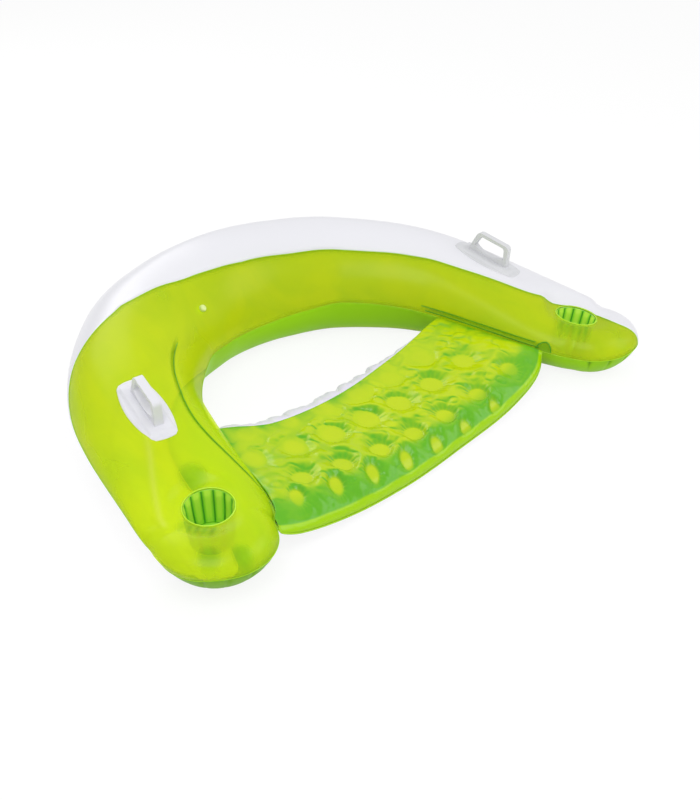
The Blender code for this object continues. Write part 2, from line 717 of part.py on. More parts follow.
def make_cup(side, name, parts, film, rim_material):
    """Pleated wall, floor disc and rim ring of one cup well."""
    frame = cup_frame(side)
    rim_outer = CUP_MOUTH_RADIUS + CUP_RIM_WIDTH
    middle = CUP_MOUTH_RADIUS + CUP_RIM_WIDTH / 2.0
    half = CUP_RIM_HEIGHT / 2.0
    profile = []
    for step in range(7):
        angle = -2.0 * math.pi * step / 6.0
        profile.append((middle + CUP_RIM_WIDTH / 2.0 * math.cos(angle), half * math.sin(angle)))
    turned("cup_rim_" + name, profile, 2 * ROUND_STEPS, rim_material, parts, frame)
    wall_top = -half - GAP
    wall_bottom = -CUP_DEPTH
    around = 4 * CUP_PLEATS
    levels = 3
    lines = []
    for level in range(levels + 1):
        share = level / levels
        line = []
        for step in range(around):
            angle = 2.0 * math.pi * step / around
            pleat = CUP_PLEAT_DEPTH * (0.5 - 0.5 * math.cos(CUP_PLEATS * angle)) * ease(share * 4.0)
            radius = mix(CUP_MOUTH_RADIUS + FILM, CUP_FLOOR_RADIUS, share) - pleat * ease((1.0 - share) * 4.0)
            height = mix(wall_top, wall_bottom, share)
            line.append(frame @ Vector((radius * math.cos(angle), radius * math.sin(angle), height)))
        line.append(line[0].copy())
        lines.append(line)
    points = [point for line in lines for point in line]
    wall = mesh_object("cup_wall_" + name, points, grid_faces(lines), film, parts, weld=MERGE_SAME)
    face_along(wall, frame @ Vector((rim_outer, 0.0, wall_top)), frame.to_3x3() @ Vector((1.0, 0.0, 0.0)))
    thicken(wall, FILM, outward=True)
    low = -CUP_DEPTH - GAP - CUP_FLOOR_THICKNESS
    high = -CUP_DEPTH - GAP
    floor_radius = CUP_FLOOR_RADIUS + FILM
    floor = [(0.0, high), (floor_radius, high), (floor_radius, low), (0.0, low)]
    turned("cup_floor_" + name, floor, 2 * ROUND_STEPS, film, parts, frame)


# Grips


def surface_frame(travel, place):
    """Frame on the ring: X along the travel, Y outward across, Z along the normal."""
    side = -1.0 if travel < 0.0 else 1.0
    step = 0.01
    origin = ring_point(travel, place)
    along = (ring_point(travel + side * step, place) - ring_point(travel - side * step, place)).normalized()
    across = (ring_point(travel, place + step) - ring_point(travel, place - step)).normalized()
    across = (across - along * across.dot(along)).normalized()
    normal = along.cross(across)
    if normal.z < 0.0:
        normal = -normal
    across = normal.cross(along)
    return Matrix((
        (along.x, across.x, normal.x, origin.x),
        (along.y, across.y, normal.y, origin.y),
        (along.z, across.z, normal.z, origin.z),
        (0.0, 0.0, 0.0, 1.0),
    ))


def surface_near(travel, place, along, across):
    """Point of the ring's film at a distance along and across from a place on it."""
    side = -1.0 if travel < 0.0 else 1.0
    step = 0.01
    here = ring_point(travel, place)
    pace_along = (ring_point(travel + side * step, place) - here).length / step
    moved = travel + side * along / pace_along
    start = ring_point(moved, place)
    pace_across = (ring_point(moved, place + step) - start).length / step
    moved_place = place + across / pace_across
    if moved_place < 1.0 < place + step:
        inner_pace = (start - ring_point(moved, place - step)).length / step
        moved_place = place + across / inner_pace
    return ring_point(moved, moved_place)


def offset_place(travel, offset):
    """Place outside the crest at a distance measured over the film."""
    place = 1.0
    length = 0.0
    step = 0.01
    while length < offset:
        length += (ring_point(travel, place + step) - ring_point(travel, place)).length
        place += step
    return place


def make_handle(side, name, offset, parts, material):
    """Barrel shaped patch on the film and the grip loop on its plinth."""
    travel = side * HANDLE_TRAVEL_SHARE
    place = offset_place(travel, offset)
    frame = surface_frame(travel, place)
    inverse = frame.inverted()
    normal = frame.to_3x3() @ Vector((0.0, 0.0, 1.0))
    along_steps, across_steps = 14, 8
    lower, upper = [], []
    for i in range(along_steps + 1):
        u = 2.0 * i / along_steps - 1.0
        half_width = mix(PATCH_MIDDLE_WIDTH, PATCH_END_WIDTH, u * u) / 2.0
        low_line, high_line = [], []
        for j in range(across_steps + 1):
            v = 2.0 * j / across_steps - 1.0
            bow = 1.0 - 0.05 * v * v
            along, across = u * PATCH_LENGTH / 2.0 * bow, v * half_width
            film = surface_near(travel, place, along, across)
            height = (inverse @ film).z
            inset = min(PLINTH_LENGTH / 2.0 - abs(along), PLINTH_WIDTH / 2.0 - abs(across))
            raised = ease((inset + PLINTH_SLOPE) / PLINTH_SLOPE)
            top = mix(height + GAP + PATCH_THICKNESS, PLINTH_HEIGHT, raised)
            low_line.append(film + normal * GAP)
            high_line.append(film + normal * (top - height))
        lower.append(low_line)
        upper.append(high_line)
    points = [point for line in upper for point in line] + [point for line in lower for point in line]
    count = (along_steps + 1) * (across_steps + 1)
    faces = grid_faces(upper)
    faces += [tuple(reversed(face)) for face in grid_faces(lower, count)]
    columns = across_steps + 1
    rim = [c for c in range(columns)]
    rim += [r * columns + columns - 1 for r in range(1, along_steps + 1)]
    rim += [along_steps * columns + c for c in range(columns - 2, -1, -1)]
    rim += [r * columns for r in range(along_steps - 1, 0, -1)]
    for a, b in zip(rim, rim[1:] + rim[:1]):
        faces.append((b, a, a + count, b + count))
    mesh_object("handle_patch_" + name, points, faces, material, parts)
    make_grip(name, frame, parts, material)


def arc(centre, radius, start, end, steps):
    return [(centre[0] + radius * math.cos(mix(start, end, k / steps)),
             centre[1] + radius * math.sin(mix(start, end, k / steps))) for k in range(steps + 1)]


def make_grip(name, frame, parts, material):
    """Flat strap bent to a loop: a 2D outline with a finger hole, as thick as the strap is wide."""
    base = PLINTH_HEIGHT + GAP
    top = base + GRIP_HEIGHT
    foot, head = GRIP_FOOT_LENGTH / 2.0, GRIP_TOP_LENGTH / 2.0
    lean = math.atan2(foot - head, GRIP_HEIGHT)
    half_pi = math.pi / 2.0
    outer = [(-foot, base), (foot, base)]
    outer += arc((head - GRIP_CORNER, top - GRIP_CORNER), GRIP_CORNER, lean, half_pi, 5)
    outer += arc((GRIP_CORNER - head, top - GRIP_CORNER), GRIP_CORNER, half_pi, math.pi - lean, 5)
    inner_corner = GRIP_CORNER - GRIP_BAR / 2.0
    hole_top = top - GRIP_BAR
    hole_head = head - GRIP_LEG
    hole_foot = mix(foot, head, GRIP_WEB / GRIP_HEIGHT) - GRIP_LEG
    hole_low = base + GRIP_WEB
    hole = []
    hole += arc((hole_head - inner_corner, hole_top - inner_corner), inner_corner, half_pi, lean, 4)
    for step in range(9):
        share = 1.0 - 2.0 * step / 8.0
        hole.append((share * hole_foot, hole_low - GRIP_WEB_DIP * (1.0 - share ** 4)))
    hole += arc((inner_corner - hole_head, hole_top - inner_corner), inner_corner, math.pi - lean, half_pi, 4)
    curve = bpy.data.curves.new("grip_outline_" + name, "CURVE")
    curve.dimensions = "2D"
    curve.fill_mode = "BOTH"
    curve.extrude = GRIP_WIDTH / 2.0
    for outline in (outer, hole):
        spline = curve.splines.new("POLY")
        spline.points.add(len(outline) - 1)
        for target, (along, height) in zip(spline.points, outline):
            target.co = (along, height, 0.0, 1.0)
        spline.use_cyclic_u = True
    flat = bpy.data.objects.new("grip_outline_" + name, curve)
    parts.objects.link(flat)
    bpy.context.view_layer.update()
    mesh = bpy.data.meshes.new_from_object(flat.evaluated_get(bpy.context.evaluated_depsgraph_get()))
    bpy.data.objects.remove(flat, do_unlink=True)
    work = bmesh.new()
    work.from_mesh(mesh)
    bmesh.ops.remove_doubles(work, verts=work.verts, dist=MERGE_SAME)
    bmesh.ops.recalc_face_normals(work, faces=work.faces)
    work.to_mesh(mesh)
    work.free()
    mesh.materials.clear()
    mesh.materials.append(material)
    mesh.shade_smooth()
    mesh.set_sharp_from_angle(angle=math.radians(40.0))
    item = bpy.data.objects.new("handle_grip_" + name, mesh)
    parts.objects.link(item)
    item.matrix_world = frame @ Matrix.Rotation(half_pi, 4, "X")
    bevel = item.modifiers.new("Edge", "BEVEL")
    bevel.width = GRIP_EDGE
    bevel.segments = 1
    bevel.limit_method = "ANGLE"
    bevel.angle_limit = math.radians(60.0)


# Seat


def crease_line():
    """Inner crease of the right arm and tip as rows of (forward, point), on the same chords as its weld."""
    points = [ring_point(travel, 0.0) for travel in travel_rows() if travel > SEAT_TRAVEL_START_SHARE]
    points += [tip_point(1.0, turn, 2.0) for turn in TIP_TURNS[-2:TIP_OUTER_STEPS:-1]]
    return [(-point.y, point) for point in points]


def seat_edge(forward):
    """Point of the right crease at a distance forward of the origin."""
    for (place_a, point_a), (place_b, point_b) in zip(CREASE_ROWS, CREASE_ROWS[1:]):
        if forward <= place_b:
            return point_a.lerp(point_b, clamp((forward - place_a) / (place_b - place_a), 0.0, 1.0))
    return CREASE_ROWS[-1][1]


def crease_clearance(forward, distance):
    """Sideways distance that keeps a clear distance from the slanted crease."""
    here = seat_edge(forward)
    runs = (seat_edge(forward + CREASE_PACE) - here, here - seat_edge(forward - CREASE_PACE))
    return max(distance * run.length / abs(run.y) for run in runs)


def seat_forward(across, along):
    """How far forward the seat lies at a place: across -1 to 1, along -1 front to 1 rear."""
    front = SEAT_FRONT * read_smooth(SEAT_FRONT_SHARES, across)
    rear = SEAT_REAR * read_smooth(SEAT_REAR_SHARES, across)
    return mix(front, rear, (along + 1.0) / 2.0)


def seat_outline(across, along):
    """Neutral surface of the seat: across -1 to 1, along -1 front to 1 rear."""
    bend = across * across
    forward = seat_forward(across, along)
    side_share = ease((across + 1.0) / 2.0)
    side_forward = mix(seat_forward(-1.0, along), seat_forward(1.0, along), side_share)
    edge = seat_edge(side_forward)
    reach = edge.x - crease_clearance(side_forward, 2.0 * (WELD_RADIUS + SEAM_GAP + JOIN_RADIUS))
    taper = seat_taper(across)
    height = edge.z - SEAT_SAG * (1.0 - bend)
    height -= SEAT_FRONT_SEAM_DROP * taper * ease((-along - 0.2) / 0.8)
    height += SEAT_REAR_SEAM_RISE * taper * ease((along - 0.2) / 0.8)
    return Vector((across * reach, -forward, height))


def seat_taper(across):
    return math.sqrt(max(0.0, 1.0 - abs(across) ** 5))


def disc_centres():
    """Middles of the welded discs, in rows that bow forward in the middle."""
    reach = ring_point(1.0, 0.0).x
    centres = []
    rows = zip(DISC_ROW_FORWARD, DISC_ROW_COUNT, DISC_ROW_MIDDLE_SHARES, DISC_ROW_PITCH_SHARES)
    for forward, count, middle_share, pitch_share in rows:
        for index in range(count):
            share = middle_share + (index - (count - 1) / 2.0) * pitch_share
            across = HALF_SPAN * (share + DISC_ROW_DRIFT_SHARE * max(share, 0.0) ** 2)
            centres.append((across, DISC_ROW_BOW * (across / reach) ** 2 - forward))
    return centres


def seat_puff(point, centres):
    """0 on a welded disc, 1 on the crown between discs."""
    nearest = min(math.hypot(point.x - x, point.y - y) for x, y in centres)
    return ease((nearest - DISC_RADIUS * 0.7) / (DISC_RADIUS * 0.8))


def seat_top_point(across, along, centres):
    base = seat_outline(across, along)
    rest = seat_outline(across, 0.0).z
    taper = seat_taper(across)
    body = math.sqrt(max(0.0, 1.0 - abs(along) ** 3.0))
    crown = rest + SEAT_CROWN * taper - base.z
    height = base.z + MARGIN + max(crown, 0.0) * body
    dimple = DISC_DEPTH * (1.0 - seat_puff(base, centres)) * taper * ease((1.0 - abs(along)) * 5.0)
    return Vector((base.x, base.y, max(height - dimple, base.z + MARGIN)))


def seat_bottom_point(across, along):
    """Underside: from the front seam under the seat and out behind it in a loose bulge."""
    taper = seat_taper(across)
    if along <= 1.0:
        base = seat_outline(across, along)
        rest = seat_outline(across, 0.0).z
        low = rest - SEAT_DROP * taper
        body = math.sqrt(max(0.0, 1.0 - max(0.0, -along) ** 4.0))
        height = mix(base.z - MARGIN, min(low, base.z - MARGIN), body)
        return Vector((base.x, base.y, height))
    turn = (along - 1.0) * math.pi
    seam = seat_outline(across, 1.0)
    rest = seat_outline(across, 0.0).z
    low = min(rest - SEAT_DROP * taper, seam.z - MARGIN)
    middle = (low + seam.z) / 2.0
    reach = (SEAT_REAR_BULGE * taper + MARGIN / 2.0) * math.sin(turn) + MARGIN * turn / math.pi
    return Vector((seam.x, seam.y + reach, middle - (seam.z - low) / 2.0 * math.cos(turn)))


def spread(count, low, high):
    """Even shares pulled towards both ends."""
    return [mix(low, high, 0.5 - 0.5 * math.cos(math.pi * k / count)) for k in range(count + 1)]


def eased_spread(count, low, high, pull):
    """Shares part way between even and drawn to both ends."""
    even = [mix(low, high, k / count) for k in range(count + 1)]
    return [mix(a, b, pull) for a, b in zip(even, spread(count, low, high))]


def make_seat(parts, cutters, green, white):
    centres = disc_centres()
    across_shares = eased_spread(SEAT_STEPS_ACROSS, -1.0, 1.0, 0.35)
    along_shares = eased_spread(SEAT_STEPS_ALONG, 1.0, -1.0, 0.45)
    rows = [[seat_top_point(across, along, centres) for across in across_shares] for along in along_shares]
    points = [point for line in rows for point in line]
    top = mesh_object("seat_top_sheet", points, grid_faces(rows), green, parts)
    face_along(top, seat_outline(0.0, 0.0), Vector((0.0, 0.0, 1.0)))
    thicken(top, FILM, outward=True)
    under = along_shares[::-2]
    behind = [1.0 + k / SEAT_BULGE_STEPS for k in range(1, SEAT_BULGE_STEPS + 1)]
    rows = [[seat_bottom_point(across, along) for across in across_shares] for along in under + behind]
    points = [point for line in rows for point in line]
    bottom = mesh_object("seat_bottom_sheet", points, grid_faces(rows), white, parts)
    face_along(bottom, seat_bottom_point(0.0, 0.0), Vector((0.0, 0.0, -1.0)))
    thicken(bottom, FILM, outward=True)
    hole = VALVE_COLLAR_RADIUS + GAP
    cut(bottom, round_cutter("valve_hole_seat", seat_valve_frame(), hole, -CUT_OVERRUN, CUT_OVERRUN, cutters))


def make_seat_weld(parts, material):
    """Weld bead round the seat where its two sheets meet."""
    shares = eased_spread(SEAT_STEPS_ACROSS, -1.0, 1.0, 0.35)
    line = [seat_outline(share, 1.0) for share in shares]
    sides = eased_spread(SEAT_STEPS_ALONG, 1.0, -1.0, 0.45)
    line += [seat_outline(1.0, share) for share in sides[1:]]
    line += [seat_outline(share, -1.0) for share in reversed(shares[:-1])]
    line += [seat_outline(-1.0, share) for share in reversed(sides[1:-1])]
    return tube("seat_rim_weld", line, WELD_RADIUS, True, material, parts)


def make_seat_joins(parts, material):
    """Weld strip between the seat's edge and each arm's crease."""
    for side, name in ((-1.0, "left"), (1.0, "right")):
        line = []
        for share in eased_spread(SEAT_STEPS_ALONG, 0.96, -0.96, 0.0):
            forward = seat_forward(side, share)
            edge = seat_edge(forward)
            inward = crease_clearance(forward, WELD_RADIUS + SEAM_GAP + JOIN_RADIUS)
            line.append(mirrored(Vector((edge.x - inward, edge.y, edge.z)), side))
        tube("seat_join_" + name, line, JOIN_RADIUS, False, material, parts)


# Air valves


def ring_valve_frame():
    return surface_frame(RING_VALVE_TRAVEL_SHARE, RING_VALVE_ACROSS_SHARE)


def seat_valve_frame():
    """Frame on the seat's rear bulge, facing back and down."""
    across = SEAT_VALVE_ACROSS_SHARE * HALF_SPAN / seat_outline(1.0, 1.0).x
    step = 0.02
    place = SEAT_VALVE_PLACE_SHARE
    middle = seat_bottom_point(across, place)
    before, after = seat_bottom_point(across, place - step), seat_bottom_point(across, place + step)
    left, right = seat_bottom_point(across - step, place), seat_bottom_point(across + step, place)
    up = (after - before).normalized()
    sideways = (right - left).normalized()
    normal = up.cross(sideways)
    if normal.z > 0.0:
        normal = -normal
    normal.normalize()
    along = (up - normal * up.dot(normal)).normalized()
    across_axis = normal.cross(along)
    origin = middle + normal * FILM
    return Matrix((
        (along.x, across_axis.x, normal.x, origin.x),
        (along.y, across_axis.y, normal.y, origin.y),
        (along.z, across_axis.z, normal.z, origin.z),
        (0.0, 0.0, 0.0, 1.0),
    ))


def make_valve(name, frame, parts, material, soft):
    """Collar in the film, stem that pulls out of it, plug on its strap and the flap that holds the air."""
    under = -VALVE_NECK
    neck_top = VALVE_RISE
    bore = VALVE_STEM_RADIUS + GAP
    collar = [(bore, neck_top), (VALVE_COLLAR_RADIUS, neck_top), (VALVE_COLLAR_RADIUS, under),
              (VALVE_FLANGE_RADIUS, under), (VALVE_FLANGE_RADIUS, under - VALVE_FLANGE_THICKNESS),
              (bore, under - VALVE_FLANGE_THICKNESS), (bore, neck_top)]
    turned(name + "_valve_collar", collar, ROUND_STEPS, material, parts, frame)
    lip_low = neck_top + GAP
    lip_top = lip_low + VALVE_LIP_THICKNESS
    stem_low = lip_top - VALVE_STEM_LENGTH
    stem = [(VALVE_BORE, lip_top), (VALVE_LIP_RADIUS, lip_top), (VALVE_LIP_RADIUS, lip_low),
            (VALVE_STEM_RADIUS, lip_low), (VALVE_STEM_RADIUS, stem_low + VALVE_STOP_THICKNESS),
            (VALVE_STOP_RADIUS, stem_low + VALVE_STOP_THICKNESS), (VALVE_STOP_RADIUS, stem_low),
            (VALVE_BORE, stem_low), (VALVE_BORE, lip_top)]
    turned(name + "_valve_stem", stem, ROUND_STEPS, material, parts, frame)
    make_plug(name, frame, lip_top, parts, soft)
    make_flap(name, frame, stem_low, parts, soft)


def tab(item_name, profile_object, frame, low, high, length, width, start):
    """Joins a flat strap to a turned solid with a union, in the solid's own frame."""
    mesh = bpy.data.meshes.new(item_name)
    work = bmesh.new()
    bmesh.ops.create_cube(work, size=1.0)
    bmesh.ops.scale(work, verts=work.verts, vec=(length, width, high - low))
    bmesh.ops.translate(work, verts=work.verts, vec=(start + length / 2.0, 0.0, (low + high) / 2.0))
    work.to_mesh(mesh)
    work.free()
    cutter = bpy.data.objects.new(item_name, mesh)
    cutter.matrix_world = frame
    cutter.hide_render = True
    cutter.display_type = "WIRE"
    bpy.data.collections["construction"].objects.link(cutter)
    modifier = profile_object.modifiers.new("Strap", "BOOLEAN")
    modifier.operation = "UNION"
    modifier.solver = "EXACT"
    modifier.object = cutter


def make_plug(name, frame, lip_top, parts, material):
    low = lip_top + GAP
    high = low + VALVE_PLUG_THICKNESS
    stub_low = low - VALVE_STUB_LENGTH
    pivot = frame @ Matrix.Translation((VALVE_HINGE_RADIUS, 0.0, low))
    profile = [(0.0, high), (VALVE_PLUG_RADIUS, high), (VALVE_PLUG_RADIUS, low), (VALVE_STUB_RADIUS, low),
               (VALVE_STUB_RADIUS * 0.8, stub_low), (0.0, stub_low)]
    plug = turned(name + "_valve_plug", profile, ROUND_STEPS, material, parts, frame)
    tab(name + "_plug_strap", plug, frame, low, mix(low, high, 0.55),
        VALVE_HINGE_RADIUS - VALVE_PLUG_RADIUS * 0.7, VALVE_STRAP_WIDTH, VALVE_PLUG_RADIUS * 0.7)
    set_origin(plug, pivot)


def make_flap(name, frame, stem_low, parts, material):
    high = stem_low - GAP
    low = high - VALVE_FLAP_THICKNESS
    profile = [(0.0, high), (VALVE_FLAP_RADIUS, high), (VALVE_FLAP_RADIUS, low), (0.0, low)]
    flap = turned(name + "_valve_flap", profile, ROUND_STEPS, material, parts, frame)
    tab(name + "_flap_tongue", flap, frame, low, high, VALVE_STOP_RADIUS - VALVE_FLAP_RADIUS * 0.7,
        VALVE_STRAP_WIDTH, VALVE_FLAP_RADIUS * 0.7)
    set_origin(flap, frame @ Matrix.Translation((VALVE_STOP_RADIUS, 0.0, high)))


def set_origin(item, pivot):
    """Hangs a moving piece on an empty at its joint's axis, without moving it."""
    empty = bpy.data.objects.new(item.name + "_axis", None)
    empty.empty_display_size = VALVE_FLANGE_RADIUS
    empty.matrix_world = pivot
    bpy.data.collections["construction"].objects.link(empty)
    world = item.matrix_world.copy()
    item.parent = empty
    item.matrix_parent_inverse = pivot.inverted()
    item.matrix_world = world


CREASE_ROWS = crease_line()


def build():
    clear_scene()
    parts = new_collection("inflatable_pool_chair")
    cutters = new_collection("construction")
    lime = new_material("lime_film", LIME, 0.22)
    wall_green = new_material("inner_wall_film", DEEP_GREEN, 0.28)
    outer_white = new_material("white_film", WHITE, 0.30)
    bottom_white = new_material("bottom_film", WHITE, 0.35)
    seat_green = new_material("seat_film", LIME, 0.20)
    seat_white = new_material("seat_underside_film", WHITE, 0.32)
    weld_green = new_material("weld_bead", LIME, 0.30)
    cup_green = new_material("cup_film", DEEP_GREEN, 0.25)
    handle_white = new_material("handle_white", WHITE, 0.38)
    handle_grey = new_material("handle_grey", PALE_GREY, 0.38)
    valve_clear = new_material("valve_vinyl", CLEAR_WHITE, 0.30)
    valve_soft = new_material("valve_soft_vinyl", CLEAR_WHITE, 0.34)
    make_top_panel(parts, cutters, lime)
    make_outer_panel(parts, outer_white)
    make_inner_wall(parts, wall_green)
    make_bottom_panel(parts, bottom_white)
    make_top_weld(parts, weld_green)
    make_floor_weld(parts, bottom_white)
    for side, name in ((-1.0, "left"), (1.0, "right")):
        make_cup(side, name, parts, cup_green, weld_green)
    make_handle(-1.0, "left", HANDLE_OFFSET_LEFT, parts, handle_white)
    make_handle(1.0, "right", HANDLE_OFFSET_RIGHT, parts, handle_grey)
    make_seat(parts, cutters, seat_green, seat_white)
    make_seat_weld(parts, weld_green)
    make_seat_joins(parts, weld_green)
    make_valve("ring", ring_valve_frame(), parts, valve_clear, valve_soft)
    make_valve("seat", seat_valve_frame(), parts, valve_clear, valve_soft)


build()
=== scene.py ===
import math

import bmesh
import bpy
import numpy as np
from mathutils import Matrix, Vector


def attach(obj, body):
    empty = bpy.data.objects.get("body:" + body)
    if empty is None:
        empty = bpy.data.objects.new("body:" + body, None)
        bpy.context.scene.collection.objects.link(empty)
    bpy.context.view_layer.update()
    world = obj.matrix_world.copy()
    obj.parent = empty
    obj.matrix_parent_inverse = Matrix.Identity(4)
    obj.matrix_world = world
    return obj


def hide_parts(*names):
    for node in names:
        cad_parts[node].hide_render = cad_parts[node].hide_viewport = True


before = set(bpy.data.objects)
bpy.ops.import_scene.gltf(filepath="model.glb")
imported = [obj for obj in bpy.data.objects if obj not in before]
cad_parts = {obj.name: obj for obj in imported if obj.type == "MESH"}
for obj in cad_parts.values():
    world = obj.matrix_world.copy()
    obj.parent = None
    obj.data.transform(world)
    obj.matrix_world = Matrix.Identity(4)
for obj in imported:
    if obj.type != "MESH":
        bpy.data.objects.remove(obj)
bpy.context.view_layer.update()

# Sizes of the ring, as in the part, in metres
HALF_SPAN = 0.629
LINE_DEPTH = 0.732
CENTRE_FORWARD = 0.3756
TUBE_HALF_WIDTH = 0.150
BACK_HEIGHT = 0.300
CREASE_HEIGHT = 0.110
WIDEST_HEIGHT = 0.160
# Thickness of every film in the scene, how far folds beside a weld may stand out, and heights above the floor
FILM = 0.0006
PUCKER_LIMIT = 0.0008
FLOOR_CLEARANCE = 0.0003
BOTTOM_FILM_HEIGHT = 0.0002
# Fine folds beside each weld: height, step from fold to fold, reach, first seed, and the fade at the weld
TOP_CREASE_PUCKERS = (0.0009, 0.030, 0.030, 11, 0.010)
TOP_SEAM_PUCKERS = (0.0006, 0.035, 0.025, 21, 0.008)
OUTER_SEAM_PUCKERS = (0.0006, 0.035, 0.025, 41, 0.008)
OUTER_FLOOR_PUCKERS = (0.0010, 0.040, 0.040, 51, 0.012)
WALL_CREASE_PUCKERS = (0.0007, 0.030, 0.020, 61, 0.006)
WALL_FLOOR_PUCKERS = (0.0008, 0.035, 0.025, 71, 0.010)
# Slow swells over the top film: height, distance between swells and the margin that stays plain at its edges
SWELL_HEIGHT = 0.0011
SWELL_STEP = 0.11
SWELL_MARGIN = 0.04
# Cup wells
CUP_ACROSS = 0.614
CUP_FORWARD = 0.3436
CUP_MOUTH_HEIGHT = 0.129
CUP_MOUTH_RADIUS = 0.052
CUP_FLOOR_RADIUS = 0.044
CUP_DEPTH = 0.088
CUP_LEAN_OUT = math.radians(6.4)
CUP_LEAN_FORWARD = math.radians(4.7)
CUP_PLEATS = 13
CUP_PLEAT_DEPTH = 0.0030
CUP_BELLY = 0.0016
CUP_JACKET_GAP = 0.0016
CUP_RIM_RADIUS = 0.0017
CUP_RIM_GAP = 0.0022
PLEAT_LINE_RADIUS = 0.0007
# Hole for a well in the top film
CUP_HOLE_GAP = 0.003
CUP_HOLE_HALF_DEPTH = 0.03
# Film round a well's mouth, drawn to the mouth's plane over this width, or over shares of it beside the seam
CUP_DISH_START = 0.008
CUP_DISH_WIDTH = 0.034
CUP_DISH_REACH = 0.050
CUP_DISH_RISE = 0.012
CUP_DISH_FULL_SHARE = 0.6
SEAM_CUP_CLEARANCE = 0.0062
CUP_SEAM_ANGLE = math.radians(35.0)
CUP_SEAM_SPREAD = 1.4
CUP_SEAM_DISH_SHARE = 0.62
CUP_BACK_DISH_SHARE = 2.0
# Lines of the left arm's folds by share of travel: the long fold and the ridge beside the cup well
FOLD_SHARES = ((0.46, 0.47), (0.52, 0.50), (0.56, 0.53), (0.60, 0.56), (0.64, 0.60), (0.68, 0.67),
               (0.715, 0.66), (0.755, 0.53), (0.79, 0.39), (0.82, 0.18), (0.86, 0.06))
RIDGE_SHARES = ((0.66, 1.02), (0.71, 1.16), (0.74, 1.25), (0.77, 1.35), (0.805, 1.41), (0.86, 1.47),
                (1.00, 1.48))
# The fold is darker with painted shade, and the ridge lighter with a painted highlight, its sheen
FOLD_WIDTH = 0.0050
FOLD_DEPTH = 0.0034
FOLD_LIP_SHARE = 0.5
FOLD_SHADE_SHARE = 0.75
RIDGE_WIDTH = 0.0090
RIDGE_HEIGHT = 0.0034
RIDGE_SHEEN_SHARE = 0.5
RIDGE_SHEEN_WIDTH_SHARE = 0.7
# Stretches of travel that the fold, the ridge and the right join's dip take up: start, fade in, end, fade out
FOLD_WINDOW_SHARES = (0.47, 0.07, 0.88, 0.05)
RIDGE_WINDOW_SHARES = (0.69, 0.04, 0.99, 0.10)
FLANGE_WINDOW_SHARES = (0.60, 0.05, 0.84, 0.04)
# Travel from which the rows of the top film are split at the crest, and the calm stretch before each tip
SPLIT_START_SHARE = 0.72
SPLIT_FADE_SHARE = 0.20
TIP_CALM_SHARE = 0.05
# Patches of painted shade on the left arm's end, as middle and radius
SHADE_PATCHES = (((-0.592, -0.266), 0.030), ((-0.700, -0.452), 0.022), ((-0.645, -0.486), 0.020))
SHADE_PATCH_SHARE = 0.55
# Shade on the film beside each well, towards the photo's camera: side, and start and length of its far fade
WELL_HEADING = (-0.855, -0.515)
WELL_SHADOWS = ((-1.0, 0.064, 0.030), (1.0, 0.074, 0.050))
WELL_SHADE_SHARE = 0.62
WELL_SHADE_START = 0.045
WELL_SHADE_START_FADE = 0.010
WELL_SHADE_HALF_WIDTH = 0.034
WELL_SHADE_SIDE_FADE = 0.014
WELL_STREAK_PITCH = 0.0155
WELL_STREAK_SHARE = 0.28
# Dip of the right arm's film where the seat's join runs below it, with painted shade along it
FLANGE_DISTANCE = 0.013
FLANGE_SHADE_WIDTH = 0.005
FLANGE_SHADE_SHARE = 0.8
FLANGE_DIP_WIDTH = 0.004
FLANGE_DIP_DEPTH = 0.0016
# Arch shaped fold above the front end of the right join: travels of its two feet, rise, foot and dark hollow
ARCH_TRAVEL_SHARES = (0.798, 0.842)
ARCH_RISE = 0.023
ARCH_FOOT = 0.003
ARCH_END_SHARE = 0.08
# Painted shade in the arch's hollow
ARCH_SHADE_SHARE = 0.95
ARCH_FADE = 0.004
ARCH_DEPTH = 0.0022
ARCH_SLOPE = 0.005
# Thin lines beside the right join: name, first and last travel, and distance from the crease
FLANGE_LINES = (("upper", 0.61, 0.796, 0.019), ("lower", 0.62, 0.806, 0.008))
# Radii of the welds, of the strips at the seat's joins and of the thin lines along folds
TOP_WELD_RADIUS = 0.0009
FLOOR_WELD_RADIUS = 0.0010
FLOOR_WELD_HEIGHT = 0.0012
SEAT_WELD_RADIUS = 0.0016
JOIN_RADIUS = 0.0022
JOIN_CLEARANCE = 0.0012
JOIN_DROP = 0.0010
ARM_FOLD_RADIUS = 0.0010
FLANGE_LINE_RADIUS = 0.0013
ARCH_LINE_RADIUS = 0.0015
# Grips
PATCH_LENGTH = 0.192
PATCH_MIDDLE_WIDTH = 0.092
PATCH_END_WIDTH = 0.058
PATCH_THICKNESS = 0.0020
PATCH_BARREL_SHARE = 0.05
PATCH_EDGE_ROUND = 0.0022
PATCH_GAP = 0.0002
PATCH_SINK = 0.0003
# Rounded corners of a patch: where they start and fade, along and across, and how much they take off
PATCH_CORNER_SHARES = ((0.92, 0.08), (0.80, 0.20))
PATCH_CORNER_CUT_SHARES = (0.022, 0.07)
GROOVE_DEPTH = 0.0005
GROOVE_INSET = 0.008
GROOVE_WIDTH = 0.0009
PLINTH_LENGTH = 0.148
PLINTH_WIDTH = 0.050
PLINTH_HEIGHT = 0.0052
PLINTH_SLOPE = 0.008
GRIP_FOOT_LENGTH = 0.120
GRIP_TOP_LENGTH = 0.100
GRIP_HEIGHT = 0.0558
GRIP_WIDTH = 0.0206
GRIP_BAR = 0.0090
GRIP_LEG = 0.0110
GRIP_WEB = 0.018
GRIP_WEB_DIP = 0.012
GRIP_CORNER = 0.013
GRIP_EDGE = 0.0022
HANDLE_TRAVEL_SHARE = 0.674
HANDLE_OFFSET_LEFT = 0.004
HANDLE_OFFSET_RIGHT = 0.022
